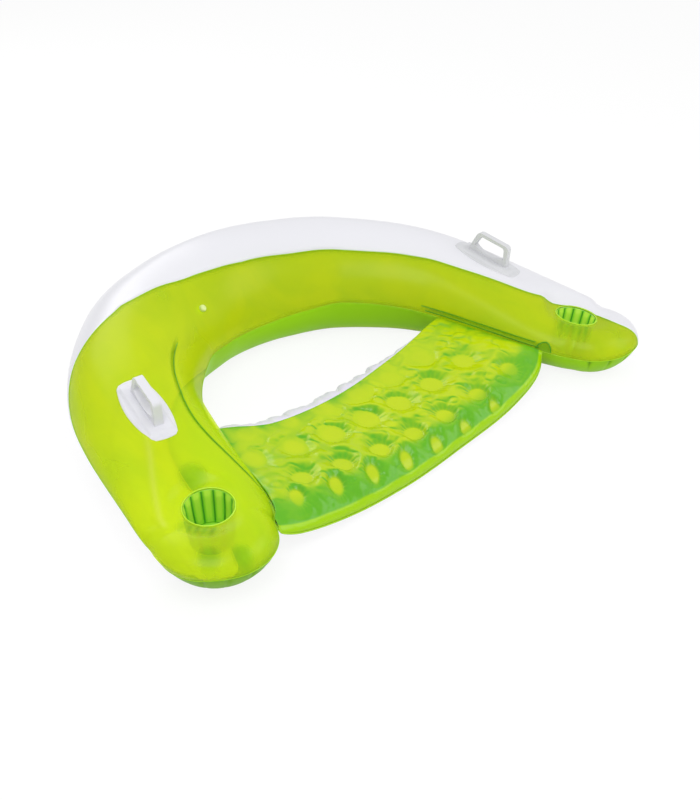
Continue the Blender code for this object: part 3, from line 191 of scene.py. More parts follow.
# Seat, whose edges lie this far forward of the origin
SEAT_REAR = 0.152
SEAT_FRONT = 0.460
SEAT_SAG = 0.026
SEAT_CROWN = 0.012
SEAT_DROP = 0.045
SEAT_FRONT_SEAM_DROP = 0.034
SEAT_REAR_SEAM_RISE = 0.004
SEAT_REAR_BULGE = 0.046
SEAT_EDGE_CLEARANCE = 0.0030
DISC_RADIUS = 0.027
DISC_DEPTH = 0.013
DISC_ROW_BOW = 0.056
DISC_ROW_FORWARD = (0.172, 0.262, 0.370, 0.424)
DISC_ROW_COUNT = (6, 7, 7, 7)
DISC_ROW_MIDDLE_SHARES = (-0.124, -0.124, -0.056, -0.183)
DISC_ROW_PITCH_SHARES = (0.172, 0.172, 0.172, 0.159)
DISC_ROW_DRIFT_SHARE = 0.40
DISC_ROW_COLOUR_SHARES = (0.40, 0.60, 0.40, 0.85)
# Film round a disc, by share of its radius: its flat middle, the start of its folds, and its colour's edge
DISC_FLAT_SHARE = 0.92
DISC_FOLD_SHARE = 0.86
DISC_COLOUR_SHARE = 0.62
DISC_COLOUR_FADE_SHARE = 0.55
DISC_WOBBLE_SHARE = 0.07
DISC_FOLD_HEIGHT = 0.0007
DISC_FOLD_REACH = 0.011
DISC_FOLD_COUNT = 15
DISC_LEAST_PUFF = 0.010
# Folds and swells of the seat's film between the discs, and its least height over the seat's middle surface
SEAT_ROW_SHARE = 0.45
SEAT_CREASE_DEPTH = 0.0020
SEAT_SWELL_HEIGHT = 0.0030
SEAT_SWELL_STEP = 0.034
SEAT_PUCKER_HEIGHT = 0.0011
SEAT_PUCKER_REACH = 0.05
SEAT_FILM_GAP = 0.0012
SEAT_FILM_LEAST_GAP = 0.0008
# Loose folds of the white hem behind the seat, by share of its bulge, and its slow wave
HEM_FOLD_SHARE = 0.22
HEM_FINE_FOLD_SHARE = 0.12
HEM_WAVE_HEIGHT = 0.003
# Seat's painted shade: the heading that it faces, and strengths of shade, tucks, left side and front roll
SHADE_HEADING = (0.60, 0.80, 0.0)
SHADE_START = 0.03
SHADE_FADE = 0.40
SHADE_SHARE = 0.85
CREASE_SHADE_SHARE = 0.30
TUCK_SHADE_SHARE = 0.75
LEFT_SHADE_SHARE = 0.20
ROLL_SHADE_SHARE = 0.9
# Where the front roll and the band at the front weld start and how far they fade in, with the weld at 1
ROLL_START_SHARE = 0.52
ROLL_FADE_SHARE = 0.20
EDGE_START_SHARE = 0.935
EDGE_FADE_SHARE = 0.018
# Discs of the front rows are smaller and drawn out to narrow spots, whose short side points this way
SPOT_ACROSS = (0.84, -0.54)
SPOT_NARROWING_SHARES = (1.0, 1.0, 1.12, 1.75)
SPOT_LENGTH_SHARES = (1.0, 1.0, 1.12, 1.00)
# How far the white hem bulges out behind the seat, from its left end at -1 to its right end at 1
HEM_SHARES = ((-1.0, 1.0), (-0.5, 1.0), (0.0, 0.9), (0.3, 0.7), (0.55, 0.36), (0.75, 0.10), (1.0, 0.04))
# How far forward the seat's edges lie, by share of SEAT_REAR and SEAT_FRONT, from its left end at -1 to its
# right end at 1
SEAT_REAR_SHARES = ((-1.0, 0.605), (-0.9, 0.72), (-0.8, 0.87), (-0.7, 0.965), (-0.5, 1.0), (-0.25, 0.98),
                    (0.0, 0.91), (0.25, 0.80), (0.5, 0.69), (0.7, 0.585), (0.85, 0.495), (1.0, 0.44))
SEAT_FRONT_SHARES = ((-1.0, 0.957), (-0.9, 0.98), (-0.6, 1.0), (-0.35, 0.995), (-0.1, 0.98), (0.1, 0.96),
                     (0.45, 0.93), (0.67, 0.895), (0.82, 0.86), (0.92, 0.82), (1.0, 0.766))

# Shares along the ring, from the middle of the back to the tip, of the sizes above: across, along, width,
# crest height, crease height, widest height, crest offset, fullness outside, undercut, foot width
STATION_SHARES = (
    (0.000, 1.004, 0.97, 1.00, 0.91, 1.18, 0.36, 0.55, 0.0, 0.42),
    (0.264, 0.980, 1.07, 0.96, 1.01, 1.03, 0.34, 0.55, 0.0, 0.42),
    (0.531, 0.874, 1.09, 0.915, 1.09, 0.88, 0.28, 0.55, 0.4, 0.42),
    (0.798, 0.593, 1.02, 0.82, 0.93, 0.78, 0.16, 0.58, 1.0, 0.42),
    (0.960, 0.111, 0.99, 0.50, 0.73, 0.69, -0.13, 0.68, 1.0, 0.35),
    (1.000, 0.000, 0.87, 0.427, 0.64, 0.53, -0.37, 0.75, 1.0, 0.35),
)
# Where the colour seam crosses a section, by share of travel: 0 inner crease, 1 crest, 2 widest line outside
SEAM_LEFT_SHARES = ((0.00, 0.58), (0.12, 0.64), (0.25, 0.73), (0.38, 0.89), (0.46, 1.07), (0.512, 1.34),
                    (0.545, 1.62), (0.565, 1.80), (0.62, 1.97), (0.70, 2.01), (0.80, 2.02), (0.90, 2.12),
                    (1.00, 2.22))
SEAM_RIGHT_SHARES = ((0.00, 0.58), (0.17, 0.56), (0.36, 0.56), (0.475, 0.565), (0.57, 0.60), (0.65, 0.69),
                     (0.70, 0.81), (0.75, 0.94), (0.765, 0.99), (0.77, 1.03), (0.78, 1.103),
                     (0.79, 1.145), (0.80, 1.168), (0.82, 1.19), (0.90, 1.225), (1.00, 1.262))
SEAM_TIP_SHARES = ((0.00, 1.262), (0.22, 1.268), (0.30, 1.29), (0.36, 1.36), (0.40, 1.47), (0.43, 1.68),
                   (0.45, 2.00))
TIP_SEAM_END_SHARE = 0.45
SEAM_LEFT_TIP_SHARES = ((0.00, 2.22), (0.20, 2.18), (0.40, 2.04), (0.80, 2.00), (1.00, 2.00))

# Painted shade of the wall under each tip, and its tucks by share of the way round
LEFT_TIP_SHADE_SHARE = 0.42
RIGHT_TIP_SHADE_SHARE = 0.12
TIP_SHADE_ROWS = 20.0
LEFT_TUCK_SHARES = (0.30, 0.44, 0.58, 0.70, 0.83)
RIGHT_TUCK_SHARES = (0.30, 0.55, 0.80)
TUCK_WIDTH = 0.0038
TUCK_DEPTH = 0.0080
TUCK_REACH = 0.024

# Rows of points along the right half of the ring and round a tip, and points that a row is measured over
ROW_COUNT = 150
TIP_ROW_COUNT = 100
FINE_STEPS = 96


# Small helpers


def mix(first, second, share):
    return first + (second - first) * share


def ease(share):
    share = np.clip(share, 0.0, 1.0)
    return share * share * (3.0 - 2.0 * share)


def placed(points, matrix):
    """Points moved by a frame."""
    table = np.array(matrix)
    return np.asarray(points) @ table[:3, :3].T + table[:3, 3]


def line_lengths(line):
    """Distance along a line of points from its first."""
    return np.concatenate(([0.0], np.cumsum(np.linalg.norm(np.diff(line, axis=0), axis=1))))


def read_table(table, place):
    """Reads a table of (place, value) rows with rounded corners between its straight stretches."""
    places = [row[0] for row in table]
    values = [row[1] for row in table]
    width = 0.02
    spread = [place + width * k for k in (-1.0, -0.5, 0.0, 0.5, 1.0)]
    return float(np.mean(np.interp(np.clip(spread, places[0], places[-1]), places, values)))


def read_smooth(table, place):
    """Reads a table of (place, value) rows on a curve through its rows."""
    places, values = np.array(table).T
    last = len(places) - 1
    low, high = np.maximum(np.arange(last + 1) - 1, 0), np.minimum(np.arange(last + 1) + 1, last)
    slopes = (values[high] - values[low]) / (places[high] - places[low])
    index = np.clip(np.searchsorted(places, place, side="right") - 1, 0, last - 1)
    run = places[index + 1] - places[index]
    share = (place - places[index]) / run
    cube, square = share ** 3, share ** 2
    return ((2 * cube - 3 * square + 1) * values[index] + (cube - 2 * square + share) * run * slopes[index]
            + (3 * square - 2 * cube) * values[index + 1] + (cube - square) * run * slopes[index + 1])


def bezier(points, share):
    (au, az), (bu, bz), (cu, cz), (du, dz) = points
    rest = 1.0 - share
    wa, wb, wc, wd = rest ** 3, 3.0 * rest * rest * share, 3.0 * rest * share * share, share ** 3
    return wa * au + wb * bu + wc * cu + wd * du, wa * az + wb * bz + wc * cz + wd * dz


def wander(values, step, seed):
    """Smooth random curve between -1 and 1 with a knot every step."""
    values = np.asarray(values, float) / step
    knots = np.random.default_rng(seed).uniform(-1.0, 1.0, 4096)
    index = np.floor(values).astype(int)
    share = ease(values - index)
    return mix(knots[index % 4096], knots[(index + 1) % 4096], share)


def bumps(x, y, step, seed):
    """Smooth random heights between -1 and 1 over a plane, with a knot every step."""
    knots = np.random.default_rng(seed).uniform(-1.0, 1.0, (64, 64))
    column, row = np.floor(x / step).astype(int), np.floor(y / step).astype(int)
    share_x, share_y = ease(x / step - column), ease(y / step - row)
    near = mix(knots[column % 64, row % 64], knots[(column + 1) % 64, row % 64], share_x)
    far = mix(knots[column % 64, (row + 1) % 64], knots[(column + 1) % 64, (row + 1) % 64], share_x)
    return mix(near, far, share_y)


# The ring's surface


def station(travel):
    """Sizes of the ring's section at a travel, 0 at the middle of the back and 1 at the tip's middle."""
    table = np.array(STATION_SHARES)
    last = len(table) - 1
    slopes = np.zeros_like(table)
    slopes[1:-1] = (table[2:] - table[:-2]) / 2.0
    slopes[-1] = table[-1] - table[-2]
    slopes[0, 0] = table[1, 0]
    place = min(max(travel, 0.0), 1.0) * last
    index = min(int(place), last - 1)
    share = place - index
    cube, square = share ** 3, share ** 2
    row = ((2 * cube - 3 * square + 1) * table[index] + (cube - 2 * square + share) * slopes[index]
           + (3 * square - 2 * cube) * table[index + 1] + (cube - square) * slopes[index + 1])
    width = row[2] * TUBE_HALF_WIDTH
    return {
        "middle": np.array((row[0] * HALF_SPAN, row[1] * LINE_DEPTH - CENTRE_FORWARD, 0.0)),
        "width": width,
        "crest": row[3] * BACK_HEIGHT,
        "crease": row[4] * CREASE_HEIGHT,
        "widest": row[5] * WIDEST_HEIGHT,
        "offset": row[6] * width,
        "full": row[7],
        "undercut": row[8],
        "foot": row[9] * width,
    }


def heading(travel):
    """Unit direction of the centre line and its outward normal on the right side."""
    step = 0.002
    low, high = max(travel - step, 0.0), min(travel + step, 1.0)
    along = station(high)["middle"] - station(low)["middle"]
    along = along / np.linalg.norm(along)
    if travel <= step:
        along = np.array((1.0, 0.0, 0.0))
    return along, np.array((-along[1], along[0], 0.0))


def section_curves(sizes):
    """Curves of (across, height): crease to crest, crest to widest, widest to foot, inner foot to crease."""
    width, crest, crease, widest = sizes["width"], sizes["crest"], sizes["crease"], sizes["widest"]
    offset, full, undercut, foot = sizes["offset"], sizes["full"], sizes["undercut"], sizes["foot"]
    reach = offset + width
    inner_top = ((-width, crease), (-0.94 * width, crease + 0.62 * (crest - crease)),
                 (offset - 0.60 * reach * (0.75 + 0.45 * full), crest), (offset, crest))
    outer_top = ((offset, crest), (offset + full * (width - offset), crest),
                 (width, widest + full * (crest - widest)), (width, widest))
    slack = 1.0 - undercut
    outer_under = ((width, widest), (width * (1.0 - 0.16 * undercut), widest * (0.45 + 0.05 * undercut)),
                   (foot + (0.30 + 0.25 * slack) * (width - foot), 0.0), (foot, 0.0))
    inner_under = ((-foot, 0.0), (-foot - 0.35 * (width - foot), 0.0),
                   (-width * (1.0 - 0.10 * undercut), crease * 0.45), (-width, crease))
    return inner_top, outer_top, outer_under, inner_under


def ring_points(travel, places):
    """Points of the ring at one travel: 0 crease, 1 crest, 2 widest, 3 foot, 4 inner foot, 5 crease."""
    places = np.atleast_1d(np.asarray(places, float))
    side = -1.0 if travel < 0.0 else 1.0
    sizes = station(abs(travel))
    inner_top, outer_top, outer_under, inner_under = section_curves(sizes)
    flat = (mix(sizes["foot"], -sizes["foot"], places - 3.0), np.zeros_like(places))
    runs = [bezier(inner_top, places), bezier(outer_top, places - 1.0), bezier(outer_under, places - 2.0),
            flat, bezier(inner_under, places - 4.0)]
    index = np.clip(np.ceil(places).astype(int) - 1, 0, 4)
    across = np.choose(index, [run[0] for run in runs])
    height = np.choose(index, [run[1] for run in runs])
    outward = heading(abs(travel))[1]
    points = sizes["middle"][None, :] + across[:, None] * outward[None, :]
    points[:, 2] = height
    points[:, 0] *= side
    return points


def tip_points(side, turn, places):
    """Points of a tip at one turn, 0 outside to 1 inside: 1 crest, 2 edge, 3 foot, 4 middle of the base."""
    places = np.atleast_1d(np.asarray(places, float))
    sizes = station(1.0)
    along, outward = heading(1.0)
    inner_top, outer_top, outer_under, inner_under = section_curves(sizes)
    angle = math.pi * turn
    blend = (1.0 - math.cos(angle)) / 2.0
    direction = outward * math.cos(angle) + along * math.sin(angle)
    edge = direction * sizes["width"]
    pole = outward * sizes["offset"]
    upper_outer, upper_inner = bezier(outer_top, places - 1.0), bezier(inner_top, 2.0 - places)
    reach = mix((upper_outer[0] - sizes["offset"]) / (sizes["width"] - sizes["offset"]),
                (sizes["offset"] - upper_inner[0]) / (sizes["width"] + sizes["offset"]), blend)
    upper = pole[None, :] + reach[:, None] * (edge - pole)[None, :]
    lower_outer, lower_inner = bezier(outer_under, places - 2.0), bezier(inner_under, 3.0 - places)
    lower = edge[None, :] * (mix(lower_outer[0], -lower_inner[0], blend) / sizes["width"])[:, None]
    base = direction[None, :] * (sizes["foot"] * (4.0 - places))[:, None]
    index = np.clip(np.ceil(places).astype(int) - 2, 0, 2)[:, None]
    plan = np.choose(index, [upper, lower, base])
    height = np.choose(index[:, 0], [mix(upper_outer[1], upper_inner[1], blend),
                                     mix(lower_outer[1], lower_inner[1], blend), np.zeros_like(places)])
    points = sizes["middle"][None, :] + plan
    points[:, 2] = height
    points[:, 0] *= side
    return points


def place_clear_of_cup(points, places):
    """Place on a row, from the crest outwards, from which the row is clear of the right cup's rim."""
    local = placed(dish(points), cup_frame(1.0).inverted())
    inside = CUP_MOUTH_RADIUS + SEAM_CUP_CLEARANCE - np.hypot(local[:, 0], local[:, 1])
    within = np.nonzero((inside[:-1] > 0.0) & (inside[1:] <= 0.0))[0]
    if len(within) == 0:
        return 0.0
    last = within[-1]
    return float(mix(places[last], places[last + 1], inside[last] / (inside[last] - inside[last + 1])))


def seam_place(travel):
    """Where the colour seam crosses the ring."""
    if travel < 0.0:
        return read_table(SEAM_LEFT_SHARES, -travel)
    places = np.linspace(0.9, 1.7, 161)
    return max(read_table(SEAM_RIGHT_SHARES, travel), place_clear_of_cup(ring_points(travel, places), places))


def tip_seam_place(side, turn):
    """Where the colour seam crosses a tip."""
    if side < 0.0:
        return read_table(SEAM_LEFT_TIP_SHARES, turn)
    places = np.linspace(1.0, 1.7, 141)
    return max(read_table(SEAM_TIP_SHARES, turn), place_clear_of_cup(tip_points(1.0, turn, places), places))


def cup_frame(side):
    """Placement of a cup well: origin at the mouth's middle, +Z out along its axis."""
    lean = Matrix.Rotation(side * CUP_LEAN_OUT, 4, "Y") @ Matrix.Rotation(CUP_LEAN_FORWARD, 4, "X")
    return Matrix.Translation((side * CUP_ACROSS, -CUP_FORWARD, CUP_MOUTH_HEIGHT)) @ lean


def dish(points):
    """Draws the film round the cups' mouths onto the mouths' planes."""
    result = np.array(points)
    for side in (-1.0, 1.0):
        near = (result[:, 0] * side > 0.0)
        local = placed(result[near], cup_frame(side).inverted())
        distance = np.hypot(local[:, 0], local[:, 1])
        hole = CUP_MOUTH_RADIUS + CUP_DISH_START
        bearing = np.arctan2(local[:, 1], local[:, 0])
        outside = ease(CUP_SEAM_SPREAD * np.cos(bearing - CUP_SEAM_ANGLE)) * (side > 0.0)
        above = ease(local[:, 2] / CUP_DISH_RISE)
        width = CUP_DISH_WIDTH * mix(1.0, mix(CUP_SEAM_DISH_SHARE, CUP_BACK_DISH_SHARE, above), outside)
        share = ease((distance - hole) / width)
        share = mix(share, 1.0, ease((-local[:, 2] - CUP_DISH_FULL_SHARE * CUP_DISH_REACH)
                                     / ((1.0 - CUP_DISH_FULL_SHARE) * CUP_DISH_REACH)))
        local[:, 2] *= share
        result[near] = placed(local, cup_frame(side))
    return result


def spaced(points, steps, start=0.0, end=0.0):
    """Points at even distances along a finely sampled row, with a length trimmed off each end."""
    lengths = line_lengths(points)
    wanted = np.linspace(start, lengths[-1] - end, steps + 1)
    return np.stack([np.interp(wanted, lengths, points[:, k]) for k in range(3)], axis=1)


def ring_row(travel, first, last, steps):
    return spaced(ring_points(travel, np.linspace(first, last, FINE_STEPS)), steps)


def tip_row(side, turn, first, last, steps):
    return spaced(tip_points(side, turn, np.linspace(first, last, FINE_STEPS)), steps)


def ring_travels():
    """Travels of the rows, at about even distances along the crest."""
    fine = np.linspace(0.0, 1.0, 400)
    crest = np.array([ring_points(travel, 1.0)[0] for travel in fine])
    lengths = line_lengths(crest)
    right = np.interp(np.linspace(0.0, lengths[-1], ROW_COUNT + 1), lengths, fine)
    return [-float(t) for t in right[:0:-1]] + [float(t) for t in right]


TRAVELS = ring_travels()
TIP_TURNS = [k / TIP_ROW_COUNT for k in range(TIP_ROW_COUNT + 1)]


# Meshes


def grid_faces(row_count, column_count, closed=False):
    """Faces of a grid, counted row by row."""
    rows = np.arange(row_count - 1)[:, None]
    columns = np.arange(column_count if closed else column_count - 1)[None, :]
    after = (columns + 1) % column_count
    a = rows * column_count + columns
    b = rows * column_count + after
    return np.stack([a, b, b + column_count, a + column_count], axis=-1).reshape(-1, 4).tolist()


def mesh_piece(name, points, faces, material, values=None, merge=0.0):
    """Mesh object at the origin, with point values that its material reads."""
    mesh = bpy.data.meshes.new(name)
    mesh.from_pydata(np.asarray(points).tolist(), [], faces)
    for key, value in (values or {}).items():
        layer = mesh.attributes.new(key, "FLOAT", "POINT")
        layer.data.foreach_set("value", np.asarray(value, np.float32))
    work = bmesh.new()
    work.from_mesh(mesh)
    if merge:
        bmesh.ops.remove_doubles(work, verts=work.verts, dist=merge)
        bmesh.ops.dissolve_degenerate(work, edges=work.edges, dist=merge * 0.5)
    bmesh.ops.recalc_face_normals(work, faces=work.faces)
    work.to_mesh(mesh)
    work.free()
    mesh.materials.append(material)
    mesh.shade_smooth()
    item = bpy.data.objects.new(name, mesh)
    bpy.context.scene.collection.objects.link(item)
    return item


def face_along(item, near, direction):
    """Turns an open surface over if its face nearest a point doesn't face along a direction."""
    mesh = item.data
    near = Vector(near)
    nearest = min(mesh.polygons, key=lambda polygon: (Vector(polygon.center) - near).length)
    if nearest.normal.dot(Vector(direction)) < 0.0:
        mesh.flip_normals()


def thicken(item, thickness, outward=False):
    """Gives a surface a thickness, inwards unless told otherwise."""
    modifier = item.modifiers.new("Film", "SOLIDIFY")
    modifier.thickness = thickness
    modifier.offset = 1.0 if outward else -1.0
    modifier.use_rim = True


def settle(item):
    """Applies a piece's modifiers to its mesh."""
    evaluated = item.evaluated_get(bpy.context.evaluated_depsgraph_get())
    mesh = bpy.data.meshes.new_from_object(evaluated)
    old = item.data
    item.modifiers.clear()
    item.data = mesh
    mesh.name = item.name
    bpy.data.meshes.remove(old)


def cut_round(item, place, radius, low, high):
    """Cuts a round hole through a closed piece, along a frame's own Z."""
    mesh = bpy.data.meshes.new("hole")
    work = bmesh.new()
    bmesh.ops.create_cone(work, cap_ends=True, segments=96, radius1=radius, radius2=radius,
                          depth=high - low)
    bmesh.ops.translate(work, verts=work.verts, vec=(0.0, 0.0, (high + low) / 2.0))
    work.to_mesh(mesh)
    work.free()
    cutter = bpy.data.objects.new("hole", mesh)
    cutter.matrix_world = place
    bpy.context.scene.collection.objects.link(cutter)
    modifier = item.modifiers.new("Hole", "BOOLEAN")
    modifier.operation = "DIFFERENCE"
    modifier.solver = "EXACT"
    modifier.object = cutter
    settle(item)
    bpy.data.objects.remove(cutter, do_unlink=True)
    bpy.data.meshes.remove(mesh)


class Growth:
    """Builds a geometry node tree with named inputs, of which the first is a geometry."""

    def __init__(self, name, inputs):
        self.group = bpy.data.node_groups.new(name, "GeometryNodeTree")
        self.group.interface.new_socket("Geometry", in_out="INPUT", socket_type="NodeSocketGeometry")
        for label, kind in inputs:
            self.group.interface.new_socket(label, in_out="INPUT", socket_type=kind)
        self.group.interface.new_socket("Geometry", in_out="OUTPUT", socket_type="NodeSocketGeometry")
        self.given = self.group.nodes.new("NodeGroupInput")
        self.result = self.group.nodes.new("NodeGroupOutput")

    def add(self, kind, **settings):
        node = self.group.nodes.new(kind)
        for key, value in settings.items():
            setattr(node, key, value)
        return node

    def link(self, source, target):
        self.group.links.new(source, target)

    def rod(self, radius):
        """Round rod along the given edges, and the node of its profile."""
        path = self.add("GeometryNodeMeshToCurve")
        profile = self.add("GeometryNodeCurvePrimitiveCircle")
        sweep = self.add("GeometryNodeCurveToMesh")
        sweep.inputs["Fill Caps"].default_value = True
        self.link(self.given.outputs["Geometry"], path.inputs["Mesh"])
        self.link(self.given.outputs[radius], profile.inputs["Radius"])
        self.link(path.outputs["Curve"], sweep.inputs["Curve"])
        self.link(profile.outputs["Curve"], sweep.inputs["Profile Curve"])
        return sweep, profile

    def finish(self, geometry):
        """Ends the tree in real, smooth and painted geometry."""
        smooth = self.add("GeometryNodeSetShadeSmooth")
        realize = self.add("GeometryNodeRealizeInstances")
        paint = self.add("GeometryNodeSetMaterial")
        self.link(geometry, smooth.inputs["Geometry"])
        self.link(smooth.outputs["Geometry"], realize.inputs["Geometry"])
        self.link(realize.outputs["Geometry"], paint.inputs["Geometry"])
        self.link(self.given.outputs["Material"], paint.inputs["Material"])
        self.link(paint.outputs["Geometry"], self.result.inputs["Geometry"])
        return self.group


def weld_growth():
    """Sweeps a round weld along a path."""
    growth = Growth("weld_along_path", (("Radius", "NodeSocketFloat"), ("Sides", "NodeSocketInt"),
                                        ("Material", "NodeSocketMaterial")))
    sweep, profile = growth.rod("Radius")
    growth.link(growth.given.outputs["Sides"], profile.inputs["Resolution"])
    return growth.finish(sweep.outputs["Mesh"])


def rib_growth():
    """Repeats a round rib about an axis, at even turns."""
    growth = Growth("ribs_about_axis", (("Count", "NodeSocketInt"), ("Rib Radius", "NodeSocketFloat"),
                                        ("Material", "NodeSocketMaterial")))
    sweep, profile = growth.rod("Rib Radius")
    profile.inputs["Resolution"].default_value = 8
    points = growth.add("GeometryNodeMeshLine")
    points.inputs["Offset"].default_value = (0.0, 0.0, 0.0)
    growth.link(growth.given.outputs["Count"], points.inputs["Count"])
    index = growth.add("GeometryNodeInputIndex")
    half = growth.add("ShaderNodeMath", operation="ADD")
    half.inputs[1].default_value = 0.5
    share = growth.add("ShaderNodeMath", operation="DIVIDE")
    turn = growth.add("ShaderNodeMath", operation="MULTIPLY")
    turn.inputs[1].default_value = 2.0 * math.pi
    growth.link(index.outputs["Index"], half.inputs[0])
    growth.link(half.outputs["Value"], share.inputs[0])
    growth.link(growth.given.outputs["Count"], share.inputs[1])
    growth.link(share.outputs["Value"], turn.inputs[0])
    angles = growth.add("ShaderNodeCombineXYZ")
    growth.link(turn.outputs["Value"], angles.inputs["Z"])
    place = growth.add("GeometryNodeInstanceOnPoints")
    growth.link(points.outputs["Mesh"], place.inputs["Points"])
    growth.link(sweep.outputs["Mesh"], place.inputs["Instance"])
    growth.link(angles.outputs["Vector"], place.inputs["Rotation"])
    return growth.finish(place.outputs["Instances"])


WELD_GROWTH = weld_growth()
RIB_GROWTH = rib_growth()


def grown(name, points, closed, group, values):
    """Piece that a node tree grows from a line of points, as a plain mesh."""
    points = np.asarray(points, float)
    count = len(points)
    edges = [(k, k + 1) for k in range(count - 1)] + ([(count - 1, 0)] if closed else [])
    mesh = bpy.data.meshes.new(name)
    mesh.from_pydata(points.tolist(), edges, [])
    item = bpy.data.objects.new(name, mesh)
    bpy.context.scene.collection.objects.link(item)
    modifier = item.modifiers.new("Growth", "NODES")
    modifier.node_group = group
    for socket in group.interface.items_tree:
        if socket.in_out == "INPUT" and socket.name in values:
            modifier[socket.identifier] = values[socket.name]
    settle(item)
    work = bmesh.new()
    work.from_mesh(item.data)
    bmesh.ops.recalc_face_normals(work, faces=work.faces)
    work.to_mesh(item.data)
    work.free()
    return item


def bead(name, points, radius, closed, material, sides=10):
    """Round weld along a line of points."""
    return grown(name, points, closed, WELD_GROWTH, {"Radius": radius, "Sides": sides, "Material": material})


# Materials


def srgb(red, green, blue):
    """Linear colour of a colour read off the screen as 0 to 255."""
    def linear(value):
        value /= 255.0
        return value / 12.92 if value <= 0.04045 else ((value + 0.055) / 1.055) ** 2.4
    return (linear(red), linear(green), linear(blue), 1.0)


class Tree:
    """Builds a material's nodes."""

    def __init__(self, name):
        self.material = bpy.data.materials.new(name)
        self.material.use_nodes = True
        self.nodes = self.material.node_tree.nodes
        self.links = self.material.node_tree.links
        self.shader = self.nodes["Principled BSDF"]
        self.output = self.nodes["Material Output"]

    def add(self, kind, **settings):
        node = self.nodes.new(kind)
        for key, value in settings.items():
            setattr(node, key, value)
        return node

    def link(self, source, target):
        self.links.new(source, target)

    def attribute(self, name):
        return self.add("ShaderNodeAttribute", attribute_name=name).outputs["Fac"]

    def ramp(self, source, stops):
        """Colour ramp over (position, colour) stops."""
        node = self.add("ShaderNodeValToRGB")
        ramp = node.color_ramp
        ramp.elements[0].position, ramp.elements[0].color = stops[0]
        ramp.elements[1].position, ramp.elements[1].color = stops[-1]
        for position, colour in stops[1:-1]:
            ramp.elements.new(position).color = colour
        self.link(source, node.inputs["Fac"])
        return node.outputs["Color"]

    def noise(self, scale, detail=2.0):
        place = self.add("ShaderNodeTexCoord")
        node = self.add("ShaderNodeTexNoise")
        node.inputs["Scale"].default_value = scale
        node.inputs["Detail"].default_value = detail
        self.link(place.outputs["Object"], node.inputs["Vector"])
        return node.outputs["Fac"]

    def streaks(self, scale):
        """Soft streaks that run along the arms."""
        place = self.add("ShaderNodeTexCoord")
        stretch = self.add("ShaderNodeMapping")
        stretch.inputs["Scale"].default_value = (1.0, 0.35, 1.0)
        node = self.add("ShaderNodeTexNoise")
        node.inputs["Scale"].default_value = scale
        node.inputs["Detail"].default_value = 5.0
        node.inputs["Distortion"].default_value = 0.6
        self.link(place.outputs["Object"], stretch.inputs["Vector"])
        self.link(stretch.outputs["Vector"], node.inputs["Vector"])
        return self.ramp(node.outputs["Fac"], [(0.35, grey(0.0)), (0.68, grey(1.0))])

    def blend(self, share, first, second):
        node = self.add("ShaderNodeMix", data_type="RGBA")
        for source, label in ((share, "Factor"), (first, "A"), (second, "B")):
            target = node.inputs[label]
            if isinstance(source, (tuple, float)):
                target.default_value = source
            else:
                self.link(source, target)
        return node.outputs["Result"]

    def scale(self, source, factor):
        node = self.add("ShaderNodeMath", operation="MULTIPLY")
        node.inputs[1].default_value = factor
        self.link(source, node.inputs[0])
        return node.outputs["Value"]

    def bump(self, height, strength, distance):
        node = self.add("ShaderNodeBump")
        node.inputs["Strength"].default_value = strength
        node.inputs["Distance"].default_value = distance
        self.link(height, node.inputs["Height"])
        self.link(node.outputs["Normal"], self.shader.inputs["Normal"])

    def see_through(self, share, tint):
        """Lets a share of the light pass straight through the film, tinted."""
        clear = self.add("ShaderNodeBsdfTransparent")
        clear.inputs["Color"].default_value = tint
        mixed = self.add("ShaderNodeMixShader")
        mixed.inputs["Fac"].default_value = share
        self.link(self.shader.outputs["BSDF"], mixed.inputs[1])
        self.link(clear.outputs["BSDF"], mixed.inputs[2])
        self.link(mixed.outputs["Shader"], self.output.inputs["Surface"])


def grey(value):
    return (value, value, value, 1.0)


def gloss(tree, roughness, specular=0.5):
    tree.shader.inputs["Roughness"].default_value = roughness
    tree.shader.inputs["Specular IOR Level"].default_value = specular


LIME = srgb(232, 252, 38)
LIME_SHADE = srgb(211, 243, 42)
# Painted highlight along the left arm's ridge
LIME_SHEEN = srgb(238, 246, 130)
LIME_EDGE = srgb(160, 208, 0)
# Painted shade of folds, hollows and patches on the lime film, and beside the wells
LIME_PAINTED_SHADE = srgb(120, 196, 36)
WALL_GREEN = srgb(166, 208, 0)
WALL_EDGE = srgb(60, 156, 0)
# Painted shade in the wall's tucks and under its tips
TUCK_SHADE_GREEN = srgb(10, 92, 6)
WHITE = srgb(221, 221, 226)
GREY = srgb(206, 207, 210)
# Turns a distance in metres into a place on a colour ramp
WELD_BAND_SCALE = 50.0
FLOOR_BAND_SCALE = 16.0


def lime_film_material():
    """Green film that is darker at its welded edge and lets some light through."""
    tree = Tree("lime_film")
    body = tree.blend(tree.streaks(7.0), LIME, LIME_SHADE)
    edge = tree.ramp(tree.scale(tree.attribute("seam_distance"), WELD_BAND_SCALE),
                     [(0.0, grey(1.0)), (0.10, grey(0.8)), (0.45, grey(0.2)), (1.0, grey(0.0))])
    body = tree.blend(edge, body, LIME_EDGE)
    band = tree.ramp(tree.scale(tree.attribute("crease_distance"), WELD_BAND_SCALE),
                     [(0.0, grey(0.6)), (0.30, grey(0.35)), (0.60, grey(0.0)), (1.0, grey(0.0))])
    body = tree.blend(band, body, LIME_EDGE)
    # Painted shade in folds, the right join's dip, the arch's hollow, patches and beside the wells
    body = tree.blend(tree.attribute("fold"), body, LIME_PAINTED_SHADE)
    # Painted highlight along the ridge beside the left cup well
    body = tree.blend(tree.attribute("sheen"), body, LIME_SHEEN)
    tree.link(body, tree.shader.inputs["Base Color"])
    gloss(tree, roughness=0.26, specular=0.35)
    tree.see_through(share=0.68, tint=srgb(251, 255, 104))
    return tree.material


